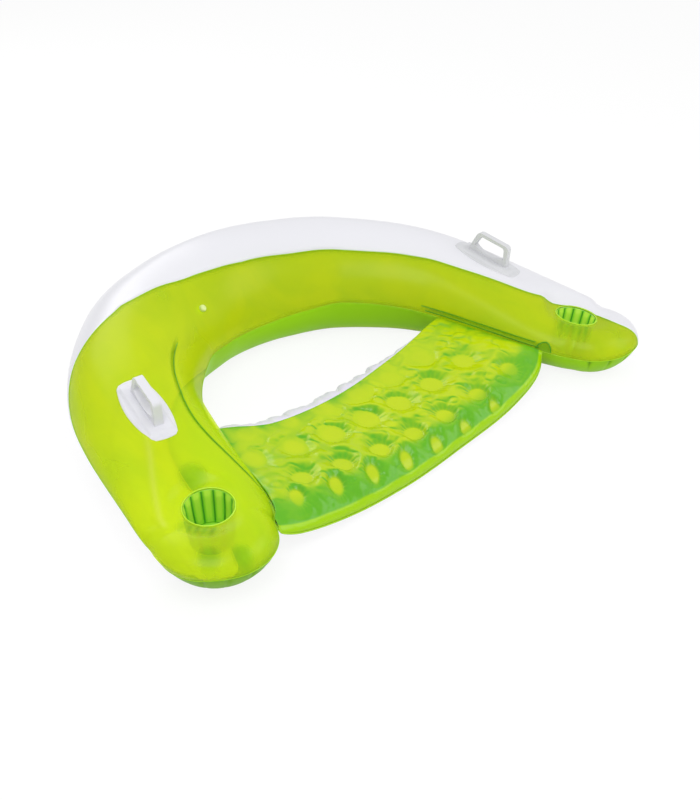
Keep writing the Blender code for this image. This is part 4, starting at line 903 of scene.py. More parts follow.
def white_film_material(name, colour):
    tree = Tree(name)
    body = tree.blend(tree.noise(4.0), colour, tuple(0.97 * c for c in colour[:3]) + (1.0,))
    tree.link(body, tree.shader.inputs["Base Color"])
    gloss(tree, 0.28)
    return tree.material


def wall_film_material():
    """Smooth green wall, deeper green towards its lower weld; painted shade in its tucks and under the tips.
    """
    tree = Tree("inner_wall_film")
    body = tree.ramp(tree.scale(tree.attribute("floor_distance"), FLOOR_BAND_SCALE),
                     [(0.0, WALL_EDGE), (0.35, WALL_GREEN), (0.8, WALL_GREEN), (1.0, srgb(150, 206, 24))])
    body = tree.blend(tree.attribute("tuck_and_shade"), body, TUCK_SHADE_GREEN)
    tree.link(body, tree.shader.inputs["Base Color"])
    gloss(tree, roughness=0.42, specular=0.06)
    return tree.material


def plain_material(name, colour, roughness, specular=0.5):
    tree = Tree(name)
    body = tree.blend(tree.noise(9.0), colour, tuple(0.96 * c for c in colour[:3]) + (1.0,))
    tree.link(body, tree.shader.inputs["Base Color"])
    gloss(tree, roughness, specular)
    return tree.material


def cup_material():
    """Pleated green film, with painted shade in the pleats' valleys."""
    tree = Tree("cup_film")
    body = tree.ramp(tree.attribute("ridge"), [(0.0, srgb(84, 172, 46)), (0.30, srgb(142, 216, 62)),
                                               (0.7, srgb(170, 228, 62)), (1.0, srgb(196, 238, 76))])
    tree.link(body, tree.shader.inputs["Base Color"])
    gloss(tree, 0.24)
    return tree.material


def cup_jacket_material():
    """Outside of a well, as seen through the ring's film, darkened with painted shade."""
    tree = Tree("cup_jacket_film")
    body = tree.ramp(tree.attribute("ridge"),
                     [(0.0, srgb(8, 70, 10)), (0.35, srgb(34, 116, 22)), (1.0, srgb(70, 150, 34))])
    tree.link(body, tree.shader.inputs["Base Color"])
    gloss(tree, 0.35)
    return tree.material


def seat_film_material():
    """Green film: bright flat discs, and painted shade on slopes facing the front and deep green on the front
    roll.
    """
    tree = Tree("seat_film")
    body = tree.blend(tree.noise(16.0, 4.0), srgb(186, 216, 10), srgb(214, 230, 16))
    # Painted shade on the front roll and on slopes that face the front
    body = tree.blend(tree.attribute("roll"), body, srgb(120, 196, 34))
    body = tree.blend(tree.attribute("shade"), body, srgb(104, 186, 34))
    body = tree.blend(tree.attribute("disc"), body, srgb(204, 222, 22))
    body = tree.blend(tree.attribute("edge"), body, srgb(168, 218, 0))
    tree.link(body, tree.shader.inputs["Base Color"])
    gloss(tree, roughness=0.18, specular=0.35)
    tree.see_through(share=0.22, tint=srgb(190, 232, 50))
    return tree.material


MATERIALS = {
    "lime_film": lime_film_material(),
    "white_film": white_film_material("white_film", WHITE),
    "bottom_film": white_film_material("bottom_film", WHITE),
    # Lavender grey film under the seat: white film darkened with painted shade
    "seat_underside_film": white_film_material("seat_underside_film", srgb(218, 214, 232)),
    "inner_wall_film": wall_film_material(),
    "weld_bead": plain_material("weld_bead", LIME_EDGE, 0.25),
    # Dark green lines along folds: real folded edges, darkened with painted shade
    "fold_line": plain_material("fold_line", srgb(70, 150, 30), 0.30, 0.2),
    "pleat_line": plain_material("pleat_line", srgb(70, 150, 34), 0.30),
    "rim_film": plain_material("rim_film", srgb(176, 218, 30), 0.25),
    "cup_film": cup_material(),
    "cup_jacket_film": cup_jacket_material(),
    "seat_film": seat_film_material(),
    "handle_white": plain_material("handle_white", srgb(214, 214, 220), 0.36),
    "handle_grey": plain_material("handle_grey", GREY, 0.36),
    "valve_vinyl": plain_material("valve_vinyl", srgb(206, 224, 130), 0.24),
    "valve_soft_vinyl": plain_material("valve_soft_vinyl", srgb(214, 230, 150), 0.24),
}


def dress(item, body, slot, *nodes):
    """Ties a finished piece to its CAD body and hides the nodes that it stands for; slot is not used."""
    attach(item, body)
    if nodes:
        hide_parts(*nodes)


def finish_film(film, point, direction, slot, *nodes, outward=False):
    """Turns a film to face a way at a point, thickens it and ties it to the chair's body."""
    face_along(film, point, direction)
    thicken(film, FILM, outward=outward)
    settle(film)
    dress(film, "chair", slot, *nodes)


# Panels of the ring


def surface_normals(grid):
    """Unit normals of a grid of points."""
    along = np.gradient(grid, axis=0)
    across = np.gradient(grid, axis=1)
    normals = np.cross(along, across)
    lengths = np.linalg.norm(normals, axis=2)[:, :, None]
    return normals / np.maximum(lengths, 1e-12)


def outward_normals(grid, row, column, direction):
    """Normals of a grid, turned so that the one at a given place points along a direction."""
    normals = surface_normals(grid)
    if float(np.dot(normals[row, column], direction)) < 0.0:
        normals = -normals
    return normals


def row_lengths(grid):
    """Distance over each row from its first point."""
    steps = np.linalg.norm(np.diff(grid, axis=1), axis=2)
    return np.concatenate([np.zeros((len(grid), 1)), np.cumsum(steps, axis=1)], axis=1)


def puckers(run, distance, settings):
    """Lift of the fine folds that start at a weld and die away from it."""
    height, step, reach, seed, fade = settings
    folds = (wander(run, step, seed) + 0.5 * wander(run, step * 0.43, seed + 1)) * np.exp(-distance / reach)
    return height * folds * ease(distance / fade)


def place_distance(travels, table):
    """Distance from the crease to a place that a table gives for each travel on the left arm."""
    places = np.linspace(0.0, 2.0, 201)
    distances = []
    for travel in travels[:, 0]:
        lengths = line_lengths(ring_points(travel, places))
        distances.append(np.interp(read_table(table, -travel), places, lengths))
    return np.array(distances)[:, None]


def line_strength(place, middle, width):
    """1 on a line across the rows, fading over a width to each side."""
    return np.exp(-((place - middle) / width) ** 2)


def window(place, limits):
    """1 between two places, fading in after the first and out before the last."""
    start, fade_in, end, fade_out = limits
    return ease((place - start) / fade_in) * ease((end - place) / fade_out)


def shade_patches(points):
    """Strength of the patches of painted shade at each point."""
    strength = np.zeros(len(points))
    for middle, radius in SHADE_PATCHES:
        distance = np.linalg.norm(points[:, :2] - np.array(middle), axis=1)
        strength = np.maximum(strength, SHADE_PATCH_SHARE * np.exp(-(distance / radius) ** 4))
    return strength


def arch_height(share):
    """Distance of the arch shaped fold from the crease, by share of its width."""
    return ARCH_FOOT + ARCH_RISE * np.sin(math.pi * share) ** 0.6


def well_shadows(points):
    """Shade on the film where the wells' pleated bodies hang close behind it."""
    shade = np.zeros(len(points))
    for side, fade_start, fade_length in WELL_SHADOWS:
        offset = points[:, :2] - np.array((side * CUP_ACROSS, -CUP_FORWARD))
        along = offset @ np.array(WELL_HEADING)
        across = offset @ np.array((-WELL_HEADING[1], WELL_HEADING[0]))
        streaks = np.cos(across * 2.0 * math.pi / WELL_STREAK_PITCH)
        streaks = 1.0 - WELL_STREAK_SHARE + WELL_STREAK_SHARE * streaks
        strength = ease((along - WELL_SHADE_START) / WELL_SHADE_START_FADE)
        strength = strength * (1.0 - ease((along - fade_start) / fade_length))
        sides = 1.0 - ease((np.abs(across) - WELL_SHADE_HALF_WIDTH) / WELL_SHADE_SIDE_FADE)
        shade = np.maximum(shade, WELL_SHADE_SHARE * strength * streaks * sides)
    return shade


def top_film():
    """Lime film on top, from the crease to the colour seam, with a fan round each tip."""
    columns = 92
    half = columns // 2
    rows = []
    for travel in TRAVELS:
        seam = seam_place(travel)
        near_tip = float(ease((abs(travel) - SPLIT_START_SHARE) / SPLIT_FADE_SHARE))
        whole = ring_row(travel, 0.0, seam, columns)
        if near_tip > 0.0:
            crest = min(1.0, seam)
            split = np.concatenate([ring_row(travel, 0.0, crest, half),
                                    ring_row(travel, crest, seam, half)[1:]])
            whole = mix(whole, split, near_tip)
        rows.append(whole)
    grid = np.array(rows)
    normals = outward_normals(grid, ROW_COUNT, columns // 2, (0.0, -0.3, 1.0))
    from_crease = row_lengths(grid)
    from_seam = from_crease[:, -1:] - from_crease
    run_crease = np.repeat(line_lengths(grid[:, 0])[:, None], columns + 1, axis=1)
    run_seam = np.repeat(line_lengths(grid[:, -1])[:, None], columns + 1, axis=1)
    lift = puckers(run_crease, from_crease, TOP_CREASE_PUCKERS)
    lift += puckers(run_seam, from_seam, TOP_SEAM_PUCKERS)
    swell = SWELL_HEIGHT * wander(run_crease * 0.6 + from_crease * 0.3, SWELL_STEP, 31)
    lift += swell * ease(from_crease / SWELL_MARGIN) * ease(from_seam / SWELL_MARGIN)
    travels = np.array(TRAVELS)[:, None]
    fold_at, ridge_at = place_distance(travels, FOLD_SHARES), place_distance(travels, RIDGE_SHARES)
    folded, ridged = window(-travels, FOLD_WINDOW_SHARES), window(-travels, RIDGE_WINDOW_SHARES)
    lift -= FOLD_DEPTH * folded * line_strength(from_crease, fold_at, FOLD_WIDTH)
    lip = line_strength(from_crease, fold_at + 2.0 * FOLD_WIDTH, FOLD_WIDTH)
    lift += FOLD_LIP_SHARE * FOLD_DEPTH * folded * lip
    lift += RIDGE_HEIGHT * ridged * line_strength(from_crease, ridge_at, RIDGE_WIDTH)
    # Painted shade in the fold's valley, and the ridge's painted highlight
    fold = FOLD_SHADE_SHARE * folded * line_strength(from_crease, fold_at + 0.8 * FOLD_WIDTH, FOLD_WIDTH)
    sheen = line_strength(from_crease, ridge_at, RIDGE_SHEEN_WIDTH_SHARE * RIDGE_WIDTH)
    sheen = RIDGE_SHEEN_SHARE * ridged * sheen
    # Painted shade along the dip beside the seat's right join
    beside_seat = window(travels, FLANGE_WINDOW_SHARES)
    flange_shade = line_strength(from_crease, FLANGE_DISTANCE, FLANGE_SHADE_WIDTH)
    fold = fold + FLANGE_SHADE_SHARE * beside_seat * flange_shade
    lift -= FLANGE_DIP_DEPTH * beside_seat * line_strength(from_crease, FLANGE_DISTANCE, FLANGE_DIP_WIDTH)
    # Painted shade in the arch shaped fold's hollow
    arch = (travels - ARCH_TRAVEL_SHARES[0]) / (ARCH_TRAVEL_SHARES[1] - ARCH_TRAVEL_SHARES[0])
    arch_top = arch_height(np.clip(arch, 0.0, 1.0))
    within = ease(arch / ARCH_END_SHARE) * ease((1.0 - arch) / ARCH_END_SHARE)
    hollow = 1.0 - ease((from_crease - arch_top + ARCH_FADE) / ARCH_FADE)
    fold = np.maximum(fold, ARCH_SHADE_SHARE * within * hollow)
    hollow = 1.0 - ease((from_crease - arch_top + ARCH_SLOPE) / ARCH_SLOPE)
    lift -= ARCH_DEPTH * within * hollow * ease(from_crease / ARCH_FADE)
    lift *= ease((1.0 - np.abs(travels)) / TIP_CALM_SHARE)
    points = [(grid + lift[:, :, None] * normals).reshape(-1, 3)]
    folds = [np.clip(fold, 0.0, 1.0).ravel()]
    sheens = [sheen.ravel()]
    faces = grid_faces(len(grid), columns + 1)
    crease_distance = [from_crease.ravel()]
    seam_distance = [from_seam.ravel()]
    offset = grid.shape[0] * grid.shape[1]
    for side in (-1.0, 1.0):
        end = grid[-1] if side > 0.0 else grid[0]
        fan = [end[half:]]
        fan += [tip_row(side, turn, 1.0, tip_seam_place(side, turn), half) for turn in TIP_TURNS[1:-1]]
        fan += [end[half::-1]]
        fan = np.array(fan)
        from_pole = row_lengths(fan)
        to_edge = from_pole[:, -1:] - from_pole
        green_edge = np.array([turn >= TIP_SEAM_END_SHARE or side < 0.0 for turn in TIP_TURNS], float)
        green_edge = green_edge[:, None]
        points.append(fan.reshape(-1, 3))
        folds.append(np.zeros(fan.shape[0] * fan.shape[1]))
        sheens.append(np.zeros(fan.shape[0] * fan.shape[1]))
        faces += (np.array(grid_faces(len(fan), half + 1)) + offset).tolist()
        offset += fan.shape[0] * fan.shape[1]
        crease_distance.append(mix(1.0, to_edge, green_edge).ravel())
        seam_distance.append(mix(to_edge, 1.0, green_edge).ravel())
    points = np.concatenate(points)
    # Painted shade of the patches and beside the wells, joined to the fold value
    shade = np.maximum(shade_patches(points), well_shadows(points))
    values = {"crease_distance": np.concatenate(crease_distance), "sheen": np.concatenate(sheens),
              "seam_distance": np.concatenate(seam_distance),
              "fold": np.maximum(np.concatenate(folds), shade)}
    film = mesh_piece("ring_top_film", dish(points), faces, MATERIALS["lime_film"], values, merge=0.00012)
    face_along(film, ring_points(0.0, 0.5)[0], (0.0, -0.5, 1.0))
    thicken(film, FILM)
    settle(film)
    for side in (-1.0, 1.0):
        cut_round(film, cup_frame(side), CUP_MOUTH_RADIUS + CUP_HOLE_GAP, -CUP_HOLE_HALF_DEPTH,
                  CUP_HOLE_HALF_DEPTH)
    dress(film, "chair", "lime_film", "ring_top_panel")


def outer_film():
    """White film outside, from the colour seam down to the floor weld."""
    columns = 44
    rows = []
    for travel in TRAVELS:
        seam = seam_place(travel)
        split = max(2.0, mix(seam, 3.0, 0.30))
        rows.append(np.concatenate([ring_row(travel, seam, split, columns // 2),
                                    ring_row(travel, split, 3.0, columns // 2)[1:]]))
    for turn in [t for t in TIP_TURNS[1:] if t <= TIP_SEAM_END_SHARE]:
        seam = tip_seam_place(1.0, turn)
        split = max(2.0, mix(seam, 3.0, 0.30))
        rows.append(np.concatenate([tip_row(1.0, turn, seam, split, columns // 2),
                                    tip_row(1.0, turn, split, 3.0, columns // 2)[1:]]))
    grid = np.array(rows)
    normals = outward_normals(grid, ROW_COUNT, columns // 2, (0.0, 1.0, 0.0))
    from_seam = row_lengths(grid)
    from_floor = from_seam[:, -1:] - from_seam
    run = np.repeat(line_lengths(grid[:, 0])[:, None], columns + 1, axis=1)
    lift = puckers(run, from_seam, OUTER_SEAM_PUCKERS) + puckers(run, from_floor, OUTER_FLOOR_PUCKERS)
    lift = np.minimum(lift, PUCKER_LIMIT)
    points = dish((grid + lift[:, :, None] * normals).reshape(-1, 3))
    points[:, 2] = np.maximum(points[:, 2], FLOOR_CLEARANCE)
    film = mesh_piece("ring_outer_film", points, grid_faces(len(grid), columns + 1), MATERIALS["white_film"])
    finish_film(film, ring_points(0.0, 2.0)[0], (0.0, 1.0, 0.0), "white_film", "ring_outer_panel")


def tucks(run, distance, places, width):
    """Strength of the short folds that pull the film in under a weld, at given places along it."""
    pull = np.zeros_like(run)
    for place in places:
        pull += line_strength(run, place, width) * np.exp(-distance / TUCK_REACH)
    return pull * ease(distance / 0.003)


def wall_film():
    """Green film below the crease: round the left tip, along the inside and round the right tip."""
    columns = 26
    rows = []
    turns_left = TIP_TURNS[:-1]
    turns_right = [t for t in reversed(TIP_TURNS[:-1]) if t >= TIP_SEAM_END_SHARE]
    for turn in turns_left:
        rows.append(tip_row(-1.0, turn, tip_seam_place(-1.0, turn), 3.0, columns))
    for travel in TRAVELS:
        rows.append(ring_row(travel, 5.0, 4.0, columns))
    for turn in turns_right:
        rows.append(tip_row(1.0, turn, 2.0, 3.0, columns))
    grid = np.array(rows)
    normals = outward_normals(grid, len(turns_left) + ROW_COUNT, columns // 4, (0.0, -1.0, 0.0))
    from_crease = row_lengths(grid)
    from_floor = from_crease[:, -1:] - from_crease
    line = line_lengths(grid[:, 0])
    run = np.repeat(line[:, None], columns + 1, axis=1)
    lift = puckers(run, from_crease, WALL_CREASE_PUCKERS) + puckers(run, from_floor, WALL_FLOOR_PUCKERS)
    left_run, right_run = line[len(turns_left)], line[-1] - line[-len(turns_right)]
    places = [left_run * share for share in LEFT_TUCK_SHARES]
    places += [line[-1] - right_run * share for share in RIGHT_TUCK_SHARES]
    tuck_and_shade = tucks(run, from_crease, places, TUCK_WIDTH)
    lift -= TUCK_DEPTH * tuck_and_shade
    # Painted shade under the tips joins that of the tucks
    row = np.arange(len(grid), dtype=float)[:, None]
    left_tip = ease((len(turns_left) - row) / TIP_SHADE_ROWS)
    right_tip = ease((row - len(grid) + len(turns_right)) / TIP_SHADE_ROWS)
    tuck_and_shade = np.maximum(tuck_and_shade, LEFT_TIP_SHADE_SHARE * left_tip + RIGHT_TIP_SHADE_SHARE * right_tip)
    points = (grid + np.minimum(lift, PUCKER_LIMIT)[:, :, None] * normals).reshape(-1, 3)
    points[:, 2] = np.maximum(points[:, 2], FLOOR_CLEARANCE)
    film = mesh_piece("ring_wall_film", points, grid_faces(len(grid), columns + 1),
                      MATERIALS["inner_wall_film"],
                      {"floor_distance": from_floor.ravel(), "tuck_and_shade": np.clip(tuck_and_shade, 0.0, 1.0).ravel()})
    finish_film(film, ring_points(0.0, 4.9)[0], (0.0, -1.0, 0.0), "inner_wall_film", "ring_inner_wall")


def bottom_film():
    """White film on the floor, with a round end under each tip."""
    columns = 12
    half = columns // 2
    rows = [ring_row(travel, 3.0, 4.0, columns) for travel in TRAVELS]
    grid = np.array(rows)
    points = [grid.reshape(-1, 3)]
    faces = grid_faces(len(grid), columns + 1)
    offset = grid.shape[0] * grid.shape[1]
    for side in (-1.0, 1.0):
        end = grid[-1] if side > 0.0 else grid[0]
        fan = [end[:half + 1]]
        fan += [tip_row(side, turn, 3.0, 4.0, half) for turn in TIP_TURNS[1:-1]]
        fan += [end[:half - 1:-1]]
        fan = np.array(fan)
        points.append(fan.reshape(-1, 3))
        faces += (np.array(grid_faces(len(fan), half + 1)) + offset).tolist()
        offset += fan.shape[0] * fan.shape[1]
    points = np.concatenate(points)
    points[:, 2] = BOTTOM_FILM_HEIGHT
    film = mesh_piece("ring_bottom_film", points, faces, MATERIALS["bottom_film"], merge=0.0001)
    finish_film(film, ring_points(0.0, 3.5)[0], (0.0, 0.0, -1.0), "bottom_film", "ring_bottom_panel")


def top_weld():
    """Weld bead round the whole top film."""
    line = [ring_points(travel, 0.0)[0] for travel in TRAVELS]
    line += [tip_points(1.0, turn, 2.0)[0] for turn in TIP_TURNS[-2::-1] if turn > TIP_SEAM_END_SHARE]
    line += [tip_points(1.0, turn, tip_seam_place(1.0, turn))[0] for turn in TIP_TURNS[-2:0:-1]
             if turn <= TIP_SEAM_END_SHARE]
    line += [ring_points(travel, seam_place(travel))[0] for travel in reversed(TRAVELS)]
    line += [tip_points(-1.0, turn, tip_seam_place(-1.0, turn))[0] for turn in TIP_TURNS[1:-1]]
    item = bead("ring_top_weld_bead", dish(np.array(line)), TOP_WELD_RADIUS, True, MATERIALS["weld_bead"], 8)
    dress(item, "chair", "weld_bead", "ring_top_weld")


def floor_weld():
    """Weld bead round the bottom film, lying on the floor."""
    line = [ring_points(travel, 4.0)[0] for travel in TRAVELS]
    line += [tip_points(1.0, turn, 3.0)[0] for turn in TIP_TURNS[-2:0:-1]]
    line += [ring_points(travel, 3.0)[0] for travel in reversed(TRAVELS)]
    line += [tip_points(-1.0, turn, 3.0)[0] for turn in TIP_TURNS[1:-1]]
    line = np.array(line)
    line[:, 2] = FLOOR_WELD_HEIGHT
    item = bead("ring_floor_weld_bead", line, FLOOR_WELD_RADIUS, True, MATERIALS["bottom_film"], 8)
    dress(item, "chair", "bottom_film", "ring_floor_weld")


# Cup wells

# Turned profile of a well's floor, as radius and height over the well's bottom
CUP_FLOOR_RINGS = ((0.0, 0.0008), (0.030, 0.0006), (0.040, 0.0), (0.0445, 0.0), (0.0452, -0.0012),
                   (0.0440, -0.0022), (0.0, -0.0022))


def cup_radius(share):
    """Radius of a well without its pleats, from its mouth at 0 to its floor at 1."""
    return mix(CUP_MOUTH_RADIUS, CUP_FLOOR_RADIUS, share) + CUP_BELLY * math.sin(math.pi * share)


def finish_well_film(film, side, *nodes):
    """Turns a well's film outwards and finishes it."""
    matrix = cup_frame(side)
    finish_film(film, matrix @ Vector((CUP_MOUTH_RADIUS, 0.0, -0.01)),
                matrix.to_3x3() @ Vector((1.0, 0.0, 0.0)), "cup_film", *nodes, outward=True)


def cup(side, name):
    """Pleated wall, floor, welded rim, outer face and pleat lines of one well."""
    matrix = cup_frame(side)
    around = CUP_PLEATS * 16
    levels = 30
    angles = np.linspace(0.0, 2.0 * math.pi, around, endpoint=False)
    fold = 0.5 - 0.5 * np.cos(CUP_PLEATS * angles)
    fold = fold ** 3.0
    rows, ridges = [], []
    for level in range(levels + 1):
        share = level / levels
        depth = CUP_PLEAT_DEPTH * float(ease(share * 5.0)) * float(ease((1.0 - share) * 5.0))
        radius = cup_radius(share) - depth * (1.0 - fold)
        rows.append(np.stack([radius * np.cos(angles), radius * np.sin(angles),
                              np.full(around, -0.002 - (CUP_DEPTH - 0.002) * share)], axis=1))
        ridges.append(1.0 - fold if 0.03 < share < 0.97 else np.full(around, 0.4))
    grid = placed(np.array(rows).reshape(-1, 3), matrix)
    wall = mesh_piece("cup_well_wall_" + name, grid, grid_faces(levels + 1, around, closed=True),
                      MATERIALS["cup_film"], {"ridge": np.array(ridges).ravel()})
    finish_well_film(wall, side, "cup_wall_" + name)
    steps = 64
    turned = [[(r * math.cos(2 * math.pi * k / steps), r * math.sin(2 * math.pi * k / steps), z - CUP_DEPTH)
               for k in range(steps)] for r, z in CUP_FLOOR_RINGS]
    points = placed(np.array(turned).reshape(-1, 3), matrix)
    floor = mesh_piece("cup_well_floor_" + name, points,
                       grid_faces(len(CUP_FLOOR_RINGS), steps, closed=True), MATERIALS["cup_film"],
                       {"ridge": np.full(len(points), 0.45)}, merge=0.00001)
    dress(floor, "chair", "cup_film", "cup_floor_" + name)
    radius = CUP_MOUTH_RADIUS + CUP_RIM_GAP
    ring = [(math.cos(a) * radius, math.sin(a) * radius, 0.0)
            for a in np.linspace(0.0, 2.0 * math.pi, 96, endpoint=False)]
    line = placed(ring, matrix)
    rim = bead("cup_mouth_rim_" + name, line, CUP_RIM_RADIUS, True, MATERIALS["rim_film"], 12)
    dress(rim, "chair", "weld_bead", "cup_rim_" + name)
    jacket(side, name)
    line = [(cup_radius(share) - 0.0002, 0.0, -0.004 - (CUP_DEPTH - 0.008) * share)
            for share in np.linspace(0.0, 1.0, 14)]
    ribs = grown("cup_pleat_lines_" + name, line, False, RIB_GROWTH,
                 {"Count": CUP_PLEATS, "Rib Radius": PLEAT_LINE_RADIUS, "Material": MATERIALS["pleat_line"]})
    ribs.data.transform(matrix)
    dress(ribs, "chair", "cup_film")


def jacket(side, name):
    """Outside of a well, which shows through the ring's film, in painted shade with a darker line behind each
    pleat.
    """
    around, levels = CUP_PLEATS * 12, 16
    angles = np.linspace(0.0, 2.0 * math.pi, around, endpoint=False)
    valley = np.clip(0.5 + 0.5 * np.cos(CUP_PLEATS * angles) + 0.35 * wander(angles, 0.21, 95), 0.0, 1.0)
    rows = []
    for share in np.linspace(0.0, 1.0, levels + 1):
        radius = cup_radius(share) + CUP_JACKET_GAP
        height = np.full(around, -0.006 - (CUP_DEPTH - 0.004) * share)
        rows.append(np.stack([radius * np.cos(angles), radius * np.sin(angles), height], axis=1))
    grid = placed(np.array(rows).reshape(-1, 3), cup_frame(side))
    skin = mesh_piece("cup_jacket_" + name, grid, grid_faces(levels + 1, around, closed=True),
                      MATERIALS["cup_jacket_film"], {"ridge": np.tile(valley, levels + 1)})
    finish_well_film(skin, side)


# Grips

# Length that the fitted surface under a patch is measured in
HEIGHT_UNIT = 0.1


def surface_frame(travel, place):
    """Frame on the ring: X along the travel, Y across, Z along the normal."""
    side = -1.0 if travel < 0.0 else 1.0
    step = 0.01
    origin = Vector(ring_points(travel, place)[0])
    along = Vector(ring_points(travel + side * step, place)[0] - ring_points(travel - side * step, place)[0])
    along.normalize()
    across = Vector(ring_points(travel, place + step)[0] - ring_points(travel, place - step)[0])
    across.normalize()
    across = (across - along * across.dot(along)).normalized()
    normal = along.cross(across)
    if normal.z < 0.0:
        normal = -normal
    across = normal.cross(along)
    rows = [(along[k], across[k], normal[k], origin[k]) for k in range(3)] + [(0.0, 0.0, 0.0, 1.0)]
    return Matrix(rows)


def offset_place(travel, offset):
    """Place outside the crest at a distance measured over the film."""
    place = 1.0
    length = 0.0
    step = 0.01
    while length < offset:
        length += float(np.linalg.norm(ring_points(travel, place + step)[0] - ring_points(travel, place)[0]))
        place += step
    return place


def height_terms(x, y):
    """Terms of the surface that is fitted to the film under a patch."""
    x, y = np.asarray(x) / HEIGHT_UNIT, np.asarray(y) / HEIGHT_UNIT
    return np.stack([x ** i * y ** j for i in range(6) for j in range(6 - i)], axis=-1)


def film_below(travel_middle, place_middle):
    """Gives a function for the height of the film under a patch, fitted to points of the ring's surface."""
    side = -1.0 if travel_middle < 0.0 else 1.0
    cloud = []
    places = np.linspace(max(place_middle - 0.75, 0.2), place_middle + 0.75, 61)
    for travel in np.linspace(abs(travel_middle) - 0.12, abs(travel_middle) + 0.12, 61):
        cloud.append(ring_points(side * travel, places))
    cloud = placed(np.concatenate(cloud), surface_frame(travel_middle, place_middle).inverted())
    near = cloud[(np.abs(cloud[:, 0]) < 0.12) & (np.abs(cloud[:, 1]) < 0.07) & (cloud[:, 2] > -0.05)]
    solution = np.linalg.lstsq(height_terms(near[:, 0], near[:, 1]), near[:, 2], rcond=None)[0]

    def height_of(x, y):
        return height_terms(x, y) @ solution

    return height_of


def handle(side, name, offset, slot):
    """Barrel shaped patch with its plinth, and the grip loop."""
    travel = side * HANDLE_TRAVEL_SHARE
    place = offset_place(travel, offset)
    matrix = surface_frame(travel, place)
    height_of = film_below(travel, place)
    steps_along, steps_across = 96, 56
    u = np.linspace(-1.0, 1.0, steps_along + 1)[:, None]
    v = np.linspace(-1.0, 1.0, steps_across + 1)[None, :]
    half_width = mix(PATCH_MIDDLE_WIDTH, PATCH_END_WIDTH, u * u) / 2.0
    x = u * PATCH_LENGTH / 2.0 * (1.0 - PATCH_BARREL_SHARE * v * v)
    y = v * half_width
    (start_along, fade_along), (start_across, fade_across) = PATCH_CORNER_SHARES
    corner = ease((np.abs(u) - start_along) / fade_along) * ease((np.abs(v) - start_across) / fade_across)
    x = x * (1.0 - PATCH_CORNER_CUT_SHARES[0] * corner)
    y = y * (1.0 - PATCH_CORNER_CUT_SHARES[1] * corner)
    film = height_of(x, y)
    edge = np.minimum(1.0 - np.abs(u), (1.0 - np.abs(v)) * half_width / (PATCH_LENGTH / 2.0))
    edge = edge * PATCH_LENGTH / 2.0
    skirt = PATCH_THICKNESS * (1.0 - (1.0 - np.clip(edge / PATCH_EDGE_ROUND, 0.0, 1.0)) ** 2) ** 0.5
    groove = GROOVE_DEPTH * line_strength(edge, GROOVE_INSET, GROOVE_WIDTH)
    inset = np.minimum(PLINTH_LENGTH / 2.0 - np.abs(x), PLINTH_WIDTH / 2.0 - np.abs(y))
    raised = ease((inset + PLINTH_SLOPE) / PLINTH_SLOPE)
    top = mix(film + PATCH_GAP + skirt - groove, PLINTH_HEIGHT - 0.0001, raised)
    low = film - PATCH_SINK
    upper = np.stack([x + 0.0 * top, y + 0.0 * top, top], axis=-1).reshape(-1, 3)
    lower = np.stack([x + 0.0 * top, y + 0.0 * top, low], axis=-1).reshape(-1, 3)
    count = len(upper)
    columns = steps_across + 1
    faces = grid_faces(steps_along + 1, columns)
    faces += (np.array(faces)[:, ::-1] + count).tolist()
    rim = list(range(columns))
    rim += [r * columns + columns - 1 for r in range(1, steps_along + 1)]
    rim += [steps_along * columns + c for c in range(columns - 2, -1, -1)]
    rim += [r * columns for r in range(steps_along - 1, 0, -1)]
    faces += [(b, a, a + count, b + count) for a, b in zip(rim, rim[1:] + rim[:1])]
    points = placed(np.concatenate([upper, lower]), matrix)
    patch = mesh_piece("grip_patch_" + name, points, faces, MATERIALS[slot])
    dress(patch, "chair", slot, "handle_patch_" + name)
    grip(name, matrix, slot)


def arc(centre, radius, start, end, steps):
    """Points of a round corner."""
    angles = np.linspace(start, end, steps + 1)
    return [(centre[0] + radius * math.cos(a), centre[1] + radius * math.sin(a)) for a in angles]


